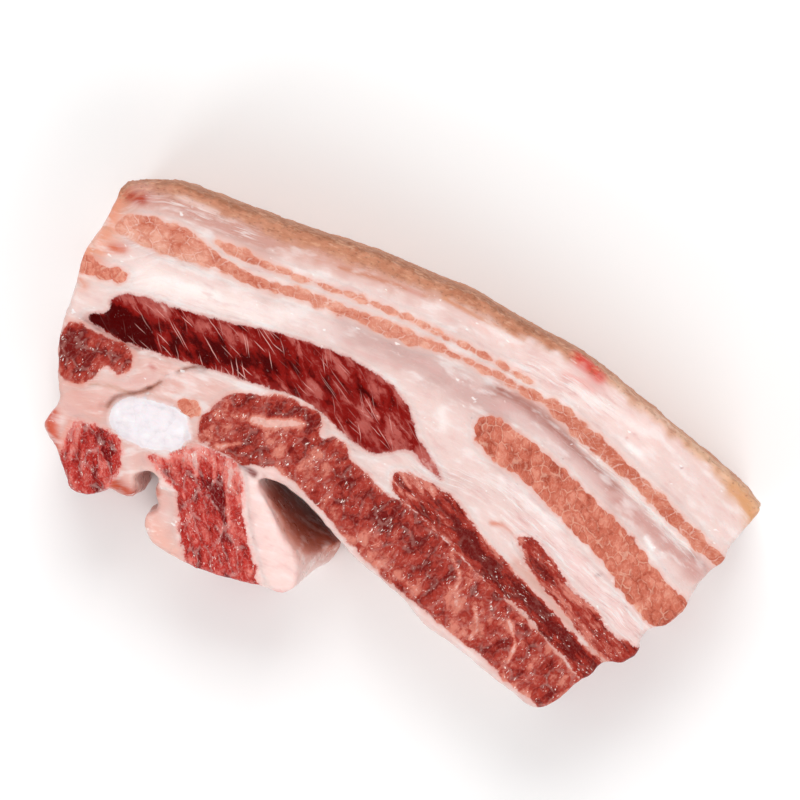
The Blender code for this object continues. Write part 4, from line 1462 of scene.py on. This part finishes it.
@dataclass(frozen=True)
class FatFinish:
    """Wet fat and rind. Every piece has it, so that it runs on over the pieces' edges.

    Attributes:
        bump: height of the ripples, in millimetres.
        strand_bump: height of the long strands.
        pore_bump: depth of the rind's pores.
        grain_bump: height of the finest grain, on the fat and added to that on the rind.
        strand: size of a strand along, across and up.
        pore_field: size of the field of a pore.
        white: colour of the palest fat.
        rosy: colour of the darkest fat.
        wet: colour of the painted glints, small bright wet spots.
        rind_pale: colour of the rind's palest mottling.
        rind_glint: colour of its pale spots, painted highlights of the wet skin.
        pore: colour of its pores.
    """

    bump: float = 0.2
    strand_bump: float = 0.35
    pore_bump: float = 0.16
    grain_bump: tuple[float, float] = (0.04, 0.08)
    strand: tuple[float, float, float] = (6.0, 0.5, 4.0)
    pore_field: tuple[float, float, float] = (1.3, 0.8, 0.9)
    white: Colour = linear(248, 238, 236)
    rosy: Colour = linear(218, 170, 165)
    wet: Colour = linear(255, 250, 248)
    rind_pale: Colour = linear(228, 176, 146)
    rind_glint: Colour = linear(240, 205, 184)
    pore: Colour = linear(132, 80, 56)

    def colour(self, nodes: Nodes) -> bpy.types.NodeSocket:
        """The fat's colour with its clouds, specks, strands and short white strokes, and painted glints:
        small bright wet spots.

        Args:
            nodes: the material's nodes.

        Returns:
            The colour.
        """
        silk, strands = nodes.attribute("silk"), self._strands(nodes)
        clouds = nodes.noise(nodes.flow((7.0, 2.6, 5.0)), 1.0, 3.0, 0.5)
        specks = nodes.noise(nodes.place, 0.8, 3.0)
        fat = nodes.attribute("tint", colour=True)
        for part, low, high, amount, colour in (
            (clouds, 0.5, 0.7, (0.5,), self.white),
            (clouds, 0.46, 0.3, (0.4,), self.rosy),
            (specks, 0.56, 0.75, (0.12,), self.rosy),
            (strands, 0.52, 0.64, (silk, 0.7), self.white),
            (strands, 0.46, 0.34, (silk, 0.55), self.rosy),
            (self._flecks(nodes), 0.62, 0.76, (0.3,), self.white),
        ):
            fat = nodes.mix(nodes.product(nodes.ramp(part, low, high), *amount), fat, colour)
        # painted glints: small bright wet spots painted into the colour as highlights
        return nodes.mix(self._painted_glints(nodes), fat, self.wet)

    def rind_colour(self, nodes: Nodes) -> bpy.types.NodeSocket:
        """The rind's colour with its mottling and pores, and pale spots painted in as the wet skin's small
        highlights.

        Args:
            nodes: the material's nodes.

        Returns:
            The colour.
        """
        mottle = nodes.noise(nodes.flow((2.4, 1.0, 1.5)), 1.0, 4.0, 0.65)
        skin = nodes.attribute("tint", colour=True)
        for part, low, high, amount, colour in (
            (mottle, 0.48, 0.7, 0.5, self.rind_pale),
            (mottle, 0.46, 0.28, 0.4, self.pore),
            (self._pores(nodes), 0.26, 0.08, 0.4, self.pore),
            # pale spots painted in as the wet skin's small highlights
            (self._flecks(nodes), 0.6, 0.74, 0.25, self.rind_glint),
        ):
            skin = nodes.mix(nodes.product(nodes.ramp(part, low, high), amount), skin, colour)
        return skin

    def height(self, nodes: Nodes) -> bpy.types.NodeSocket:
        """Relief of the fat in millimetres: soft ripples and strands.

        Args:
            nodes: the material's nodes.

        Returns:
            The height.
        """
        ripples = nodes.noise(nodes.flow((2.2, 1.0, 1.4), 8), 1.0, 4.0)
        grain = nodes.product(self._grain(nodes), self.grain_bump[0])
        soft = nodes.math("MULTIPLY_ADD", ripples, self.bump, grain)
        strands = nodes.product(self._strands(nodes), nodes.attribute("silk"), self.strand_bump)
        return nodes.math("ADD", soft, strands)

    def rind_height(self, nodes: Nodes) -> bpy.types.NodeSocket:
        """Relief of the rind in millimetres: pores and fine grain."""
        rough = nodes.product(nodes.ramp(self._pores(nodes), 0.05, 0.5), self.pore_bump)
        return nodes.math("ADD", rough, nodes.product(self._grain(nodes), self.grain_bump[1]))

    def _pores(self, nodes: Nodes) -> bpy.types.NodeSocket:
        """Distance from the nearest pore, in the size of its field."""
        return nodes.voronoi(nodes.turned(nodes.place, 10, self.pore_field)).outputs["Distance"]

    def _strands(self, nodes: Nodes) -> bpy.types.NodeSocket:
        """Noise drawn out along the rind's direction, and bent."""
        return nodes.noise(nodes.turned(nodes.warped(nodes.course, 7.0, 0.8), 0, self.strand), 1.0, 4.0)

    @staticmethod
    def _flecks(nodes: Nodes) -> bpy.types.NodeSocket:
        """Noise in short strokes along the rind's direction."""
        return nodes.noise(nodes.flow((2.6, 0.6, 2.0)), 1.0, 3.0, 0.55)

    @staticmethod
    def _grain(nodes: Nodes) -> bpy.types.NodeSocket:
        """The finest noise."""
        return nodes.noise(nodes.place, 0.4, 2.0)

    @staticmethod
    def _painted_glints(nodes: Nodes) -> bpy.types.NodeSocket:
        """Painted glints: small bright wet spots painted into the colour as highlights, gathered here and
        there.

        Args:
            nodes: the material's nodes.

        Returns:
            How much of one shows.
        """
        place = nodes.turned(nodes.warped(nodes.place, 1.5, 0.4), 0, (2.0, 1.2, 2.0))
        spots = nodes.ramp(nodes.noise(place, 1.0, 1.0, 0.5), 0.68, 0.77)
        where = nodes.ramp(nodes.noise(nodes.place, 7.0, 1.0, 0.5), 0.5, 0.6)
        return nodes.product(spots, where, 0.7)


@dataclass(frozen=True)
class Depth:
    """How deep light goes into fat and lean alike.

    Attributes:
        weight: share of the light that enters.
        radius: how far red, green and blue go, as shares of the scale.
        scale: in millimetres.
        ior: the wet surface's index of refraction.
    """

    weight: float = 0.22
    radius: tuple[float, float, float] = (1.0, 0.45, 0.35)
    scale: float = 1.4
    ior: float = 1.42

    def dress(self, shader: bpy.types.Node) -> None:
        """Sets the shader's own sockets.

        Args:
            shader: the material's shader.
        """
        shader.inputs["Subsurface Weight"].default_value = self.weight
        shader.inputs["Subsurface Radius"].default_value = self.radius
        shader.inputs["Subsurface Scale"].default_value = self.scale * MM
        shader.inputs["IOR"].default_value = self.ior


def principled(name: str) -> tuple[bpy.types.Material, Nodes, bpy.types.Node]:
    """A new material of the strip, with its node tree and its shader.

    Args:
        name: its name.

    Returns:
        The material, its nodes and its shader.
    """
    material = bpy.data.materials.new(name)
    material.use_nodes = True
    shader = material.node_tree.nodes["Principled BSDF"]
    Depth().dress(shader)
    return material, Nodes(material.node_tree), shader


def bumped(nodes: Nodes, shader: bpy.types.Node, height: bpy.types.NodeSocket) -> None:
    """Gives the shader relief from a height in millimetres.

    Args:
        nodes: the material's nodes.
        shader: its shader.
        height: the height.
    """
    bump = nodes.add("ShaderNodeBump")
    bump.inputs["Strength"].default_value = 1.0
    bump.inputs["Distance"].default_value = MM
    nodes.join(height, bump.inputs["Height"])
    nodes.join(bump.outputs["Normal"], shader.inputs["Normal"])


def fat_material() -> bpy.types.Material:
    """The material of the fat and the rind.

    Returns:
        A new material.
    """
    material, nodes, shader = principled("wet_fat")
    finish, rind = FatFinish(), nodes.attribute("rind")
    nodes.join(nodes.mix(rind, finish.colour(nodes), finish.rind_colour(nodes)), shader.inputs["Base Color"])
    wet = nodes.ramp(nodes.noise(nodes.place, 4.0, 3.0), 0.35, 0.7, (0.26, 0.46))
    nodes.join(nodes.math("MULTIPLY_ADD", rind, 0.3, wet), shader.inputs["Roughness"])
    shader.inputs["Specular IOR Level"].default_value = 0.35
    height = nodes.math("MULTIPLY_ADD", rind, finish.rind_height(nodes), finish.height(nodes))
    bumped(nodes, shader, height)
    return material


@dataclass
class LeanPattern:
    """The lobes, small bundles and fibres of one layer, as node sockets.

    Attributes:
        nodes: the material's nodes.
        look: the layer's finish.
    """

    nodes: Nodes
    look: LeanFinish

    def __post_init__(self) -> None:
        """Lays out the pattern's cells and noises."""
        nodes, look = self.nodes, self.look
        self.place = nodes.place
        for size, push in ((2.6, 0.5), (1.1, 0.34), (0.5, 0.1)):
            self.place = nodes.warped(self.place, size, push)
        lobes = nodes.turned(self.place, look.angle_deg, (look.lobe * look.stretch, look.lobe, 14.0))
        bundles = nodes.turned(self.place, look.angle_deg, (look.grain * 1.4, look.grain, 8.0))
        self.lobe, self.bundle = nodes.voronoi(lobes), nodes.voronoi(bundles)
        self.seam = nodes.voronoi(lobes, "DISTANCE_TO_EDGE").outputs["Distance"]
        self.outline = nodes.voronoi(bundles, "DISTANCE_TO_EDGE").outputs["Distance"]
        self.fibres = self._noise((*look.fibre, 3.0), 3.0)
        self.specks = self._noise((0.6, 0.45, 1.5), 3.0)
        length = 4.5 * math.sqrt(look.stretch)
        clouds = nodes.turned(nodes.place, look.angle_deg, (length, 20.0 / length, 4.5))
        self.clouds = nodes.noise(clouds, 1.0, 3.0, 0.55)
        self.breaks = nodes.noise(nodes.place, 2.3, 2.0, 0.5)

    def _noise(self, sizes: tuple[float, float, float], detail: float) -> bpy.types.NodeSocket:
        """Noise drawn out along the fibres."""
        return self.nodes.noise(self.nodes.turned(self.place, self.look.angle_deg, sizes), 1.0, detail)

    def _random(self, cell: bpy.types.Node) -> bpy.types.NodeSocket:
        """A random value for each cell."""
        split = self.nodes.add("ShaderNodeSeparateColor")
        self.nodes.join(cell.outputs["Color"], split.inputs[0])
        return split.outputs[0]

    def colour(self, reach: bpy.types.NodeSocket) -> bpy.types.NodeSocket:
        """The meat's colour.

        Args:
            reach: how far inside the meat a point lies.

        Returns:
            The colour, with seams, outlines and streaks, and painted glints: small pale wet spots.
        """
        nodes, look = self.nodes, self.look
        value, colour = self._value(reach), look.deep
        for low, high, lighter in ((0.05, 0.5, look.flesh), (0.5, 0.95, look.pale), (1.0, 1.4, look.tissue)):
            colour = nodes.mix(nodes.ramp(value, low, high), colour, lighter)
        outline = nodes.product(nodes.ramp(self.outline, 0.14, 0.0), nodes.ramp(self.specks, 0.42, 0.56))
        line = nodes.product(nodes.ramp(self.seam, look.seam / look.lobe, 0.02), self._gaps(0.42, 0.58))
        colour = nodes.mix(nodes.product(outline, look.grains), colour, look.tissue)
        colour = nodes.mix(nodes.product(line, look.seams), colour, look.tissue)
        if look.streaks:
            colour = nodes.mix(self._streaks(), colour, look.tissue)
        # painted glints: small pale spots that stand in for the wet meat's highlights
        glint_flecks = nodes.product(nodes.ramp(self._noise((0.8, 0.3, 1.5), 1.0), 0.66, 0.69), look.glint_flecks)
        return nodes.mix(nodes.product(glint_flecks, self._gaps(0.48, 0.56)), colour, linear(255, 238, 230))

    def _value(self, reach: bpy.types.NodeSocket) -> bpy.types.NodeSocket:
        """How light the meat is, from 0 to 1 and more: the sum of all that changes its tone.

        Args:
            reach: how far inside the meat a point lies.

        Returns:
            The sum.
        """
        nodes, look = self.nodes, self.look
        rim = nodes.ramp(reach, 1.0, 0.0, (0.5, 0.5 + look.rim))
        value = nodes.math("ADD", nodes.attribute("tone"), rim)
        for part, weight in (
            (self._random(self.lobe), 0.34),
            (self._random(self.bundle), 0.2),
            (nodes.ramp(self.seam, 0.0, 0.3), 0.24),
            (self.fibres, 1.2 * look.fine),
            (self.specks, 0.8 * look.fine),
            (self.clouds, 1.7),
        ):
            swing = nodes.math("SUBTRACT", part, 0.5)
            value = nodes.math("MULTIPLY_ADD", swing, weight * look.contrast, value)
        return value

    def _gaps(self, low: float, high: float) -> bpy.types.NodeSocket:
        """Where seams and painted glints show: 0 in their gaps, and 1 where the noise is over high."""
        return self.nodes.ramp(self.breaks, low, high)

    def _streaks(self) -> bpy.types.NodeSocket:
        """Long thin silver streaks of tissue, in three sets.

        Returns:
            How much of one shows.
        """
        nodes, look = self.nodes, self.look
        bent = nodes.warped(nodes.warped(nodes.place, 9.0, 0.9), 2.5, 0.16)
        total = 0.0
        for turn, length, width in ((0, 34.0, 1.1), (-20, 22.0, 1.1), (14, 17.0, 1.0)):
            place = nodes.turned(bent, look.streak_angle_deg + turn, (length, width, 1.0))
            cell = nodes.voronoi(place, flat=True)
            line = nodes.ramp(cell.outputs["Distance"], 0.13, 0.05)
            streak = nodes.product(line, nodes.ramp(self._random(cell), 0.0, 1.0))
            total = nodes.math("MAXIMUM", streak, total)
        where = nodes.ramp(nodes.attribute("silk"), 0.1, 0.6, (0.25, 1.0))
        return nodes.product(total, where, look.streaks)

    def reach(self) -> bpy.types.NodeSocket:
        """How far inside the meat a point lies, in millimetres, with the scalloped and frayed edge.

        Returns:
            The distance, less than 0 outside.
        """
        nodes, look = self.nodes, self.look
        drawn = nodes.attribute("lean")
        edge = nodes.product(nodes.math("SUBTRACT", 0.4, self.lobe.outputs["Distance"]), 1.4 * look.scallop)
        for part, amount in ((self.specks, 3.0 * look.fray), (self.breaks, 4.0 * look.wander)):
            edge = nodes.math("MULTIPLY_ADD", nodes.math("SUBTRACT", part, 0.5), amount, edge)
        return nodes.math("ADD", nodes.product(edge, nodes.ramp(drawn, -RIM, -0.4)), drawn)

    def height(self) -> bpy.types.NodeSocket:
        """Relief in millimetres: swelling lobes and bundles, and fibres.

        Returns:
            The height.
        """
        nodes, relief = self.nodes, self.look.relief
        height = nodes.product(nodes.ramp(self.seam, 0.0, 0.4), 0.5 * relief)
        for part, amount in (
            (nodes.ramp(self.outline, 0.0, 0.3), 0.16 * relief),
            (self.fibres, 0.22 * relief),
            (self.specks, 0.1 * relief + 0.03),
        ):
            height = nodes.math("MULTIPLY_ADD", part, amount, height)
        return height


def lean_material(layer: Layer) -> bpy.types.Material:
    """The material of a layer: its own lean, which turns into the fat around it at its edge.

    Args:
        layer: the layer.

    Returns:
        A new material.
    """
    look = layer.meat.value
    material, nodes, shader = principled(f"wet_{layer.node}")
    finish, pattern = FatFinish(), LeanPattern(nodes, look)
    reach = pattern.reach()
    share = nodes.ramp(reach, -look.soft_edge, look.soft_edge)
    stain = nodes.product(nodes.ramp(reach, -1.0, 0.0), look.stain)
    fat = nodes.mix(stain, finish.colour(nodes), look.pale)
    nodes.join(nodes.mix(share, fat, pattern.colour(reach)), shader.inputs["Base Color"])
    wet = nodes.noise(nodes.place, 1.2, 3.0)
    dull = nodes.ramp(wet, 0.35, 0.7, (look.roughness - 0.1, look.roughness + 0.14))
    nodes.join(dull, shader.inputs["Roughness"])
    shader.inputs["Specular IOR Level"].default_value = look.gloss
    own = nodes.product(pattern.height(), nodes.ramp(nodes.attribute("lean"), -0.4, 1.2))
    bumped(nodes, shader, nodes.math("ADD", own, finish.height(nodes)))
    return material


# ------------------------------------------------------------------------------------------------ pieces


@dataclass
class Belly:
    """The strip: one closed piece for the fat and rind, and one for each layer.

    Attributes:
        shift: from the drawing's place to the frame's, in millimetres.
        body: the joined body that every piece rides on.
    """

    shift: tuple[float, float, float] = (*CENTRE_SHIFT, 0.0)
    body: str = "root"

    def __post_init__(self) -> None:
        """Works out the shape and its colours."""
        self.surface = Surface()
        self.solid = Solid(self.surface)
        self.paint = Paint(self.surface)
        self.colours, self.rind = self.paint.tint(self.solid.points)
        self.silk = self.paint.silk(self.solid.points)

    def build(self) -> list[bpy.types.Object]:
        """Makes and dresses every piece.

        Returns:
            The pieces, the fat and rind first.
        """
        pieces = [self._dressed("fat_and_rind", 1, None)]
        for number, layer in enumerate(LAYERS, 2):
            pieces.append(self._dressed(layer.node, number, layer))
        for piece in pieces:
            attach(piece, self.body)
            log.info("%s: %d faces", piece.name, len(piece.data.polygons))
        return pieces

    def _dressed(self, node: str, label: int, layer: Layer | None) -> bpy.types.Object:
        """One piece with its material.

        Args:
            node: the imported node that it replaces.
            label: the label of its points.
            layer: its layer, or None for the fat and rind.

        Returns:
            The piece.
        """
        piece = self._piece(f"belly_{node}", label, layer)
        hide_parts(node)
        piece.data.materials.append(lean_material(layer) if layer else fat_material())
        return piece

    def _piece(self, name: str, label: int, layer: Layer | None) -> bpy.types.Object:
        """The closed mesh of all points with one label.

        Args:
            name: its name.
            label: the label of its points.
            layer: its layer, or None for the fat and rind.

        Returns:
            The object, with what its material reads.
        """
        solid = self.solid
        below, above = solid.sides[:, 0] == label, solid.sides[:, 1] == label
        faces = np.vstack([solid.faces[below], solid.faces[above][:, ::-1]])
        outer = np.concatenate([solid.outer[below], solid.outer[above]])
        used, index = np.unique(faces, return_inverse=True)
        mesh = bpy.data.meshes.new(name)
        mesh.vertices.add(len(used))
        mesh.vertices.foreach_set("co", ((solid.points[used] + self.shift) * MM).ravel())
        mesh.loops.add(index.size)
        mesh.loops.foreach_set("vertex_index", index.ravel())
        mesh.polygons.add(len(faces))
        mesh.polygons.foreach_set("loop_start", np.arange(0, index.size, 4))
        mesh.polygons.foreach_set("use_smooth", np.ones(len(faces), bool))
        mesh.update(calc_edges=True)
        flat = unit(solid.crosses(faces))
        normals = np.where(outer[:, None, None], solid.normals[faces], flat[:, None])
        mesh.normals_split_custom_set(normals.reshape(-1, 3))
        self._carry(mesh, used, layer)
        piece = bpy.data.objects.new(name, mesh)
        bpy.context.scene.collection.objects.link(piece)
        return piece

    def _carry(self, mesh: bpy.types.Mesh, used: Array, layer: Layer | None) -> None:
        """Gives the mesh the colours, places and shares that its material reads.

        Args:
            mesh: the mesh.
            used: the strip's points that it has.
            layer: its layer, or None for the fat and rind.
        """
        points = self.solid.points[used]
        x, y, z = points.T
        tint = np.hstack([self.colours[used], np.ones((len(used), 1))])
        flow = np.stack([x, self.surface.sample(self.surface.rind, x, y), z], 1)
        carried = [("tint", "FLOAT_COLOR", "color", tint), ("flow", "FLOAT_VECTOR", "vector", flow)]
        values = {"rind": self.rind[used], "silk": self.silk[used]}
        if layer:
            values["lean"] = self.surface.layer_depth(layer, x, y, z) + self.paint.swell(points)
            values["tone"] = self.paint.tone(layer.node, points)
        carried += [(name, "FLOAT", "value", value) for name, value in values.items()]
        for name, kind, key, value in carried:
            mesh.attributes.new(name, kind, "POINT").data.foreach_set(key, value.ravel())


@dataclass
class Studio:
    """A pale floor, soft light and the camera above the strip.

    Attributes:
        floor: size of the floor, in metres.
        floor_drop: how far it lies under the strip, in metres.
        sky: strength of the white sky.
        lamps: name, place, size and power of each lamp.
        distance: of the camera, in metres.
        lean_deg: how far the camera leans towards the rind's side.
        roll: the picture's right, in the drawing.
        aim: where the camera looks, in the drawing.
        view_width: what the picture spans, in millimetres.
        sensor: width of the camera's sensor, in millimetres.
    """

    floor: float = 6.0
    floor_drop: float = 0.0003
    sky: float = 0.5
    lamps: tuple[tuple[str, tuple[float, float, float], float, float], ...] = (
        ("key", (-0.35, 0.75, 0.9), 0.65, 7.3),
        ("fill", (0.75, -0.5, 0.8), 0.85, 5.0),
        ("rim", (-0.3, -0.8, 0.6), 0.4, 1.8),
    )
    distance: float = 0.75
    lean_deg: float = 4.0
    roll: tuple[float, float] = (0.8888, 0.4583)
    aim: tuple[float, float] = (-2.43, 11.9)
    view_width: float = 179.8
    sensor: float = 36.0

    def build(self) -> None:
        """Adds the floor, the lights and the camera."""
        self._floor()
        self._lights()
        self._camera()
        bpy.context.scene.view_settings.view_transform = "Standard"

    def _floor(self) -> None:
        """A plain pale floor that isn't part of the object."""
        bpy.ops.mesh.primitive_plane_add(size=self.floor, location=(0, 0, -self.floor_drop))
        floor = bpy.context.object
        floor.name = "floor"
        material = bpy.data.materials.new("pale_floor")
        material.use_nodes = True
        shader = material.node_tree.nodes["Principled BSDF"]
        shader.inputs["Base Color"].default_value = (0.99, 0.99, 0.99, 1)
        shader.inputs["Roughness"].default_value = 0.9
        floor.data.materials.append(material)

    def _lights(self) -> None:
        """A bright sky and three soft lamps, which face the strip."""
        world = bpy.data.worlds.new("studio")
        world.use_nodes = True
        sky = world.node_tree.nodes["Background"]
        sky.inputs["Color"].default_value = (1, 1, 1, 1)
        sky.inputs["Strength"].default_value = self.sky
        bpy.context.scene.world = world
        middle = Vector((0, 0, 0.02))
        for name, place, size, power in self.lamps:
            lamp = bpy.data.lights.new(name, "AREA")
            lamp.size, lamp.energy = size, power
            holder = bpy.data.objects.new(name, lamp)
            holder.location = place
            holder.rotation_euler = (middle - Vector(place)).to_track_quat("-Z", "Y").to_euler()
            bpy.context.scene.collection.objects.link(holder)

    def _camera(self) -> None:
        """The camera over the strip, turned so that the rind runs down to the right."""
        right = Vector((*self.roll, 0)).normalized()
        lean = math.radians(self.lean_deg)
        back = (Vector((0, 0, 1)) * math.cos(lean) + Vector((0, 1, 0)) * math.sin(lean)).normalized()
        right = (right - back * right.dot(back)).normalized()
        up = back.cross(right)
        aim = Vector((self.aim[0] + CENTRE_SHIFT[0], self.aim[1] + CENTRE_SHIFT[1], THICKNESS)) * MM
        camera = bpy.data.cameras.new("camera")
        camera.sensor_width = self.sensor
        camera.lens = self.sensor * self.distance / (self.view_width * MM)
        camera.clip_end = 20.0
        holder = bpy.data.objects.new("camera", camera)
        rotation = Matrix((right, up, back)).transposed().to_4x4()
        holder.matrix_world = Matrix.Translation(aim + back * self.distance) @ rotation
        bpy.context.scene.collection.objects.link(holder)
        bpy.context.scene.camera = holder


def main() -> None:
    """Builds the strip and the studio."""
    logging.basicConfig(level=logging.INFO, format="%(message)s")
    Belly().build()
    Studio().build()


if __name__ == "__main__":
    main()
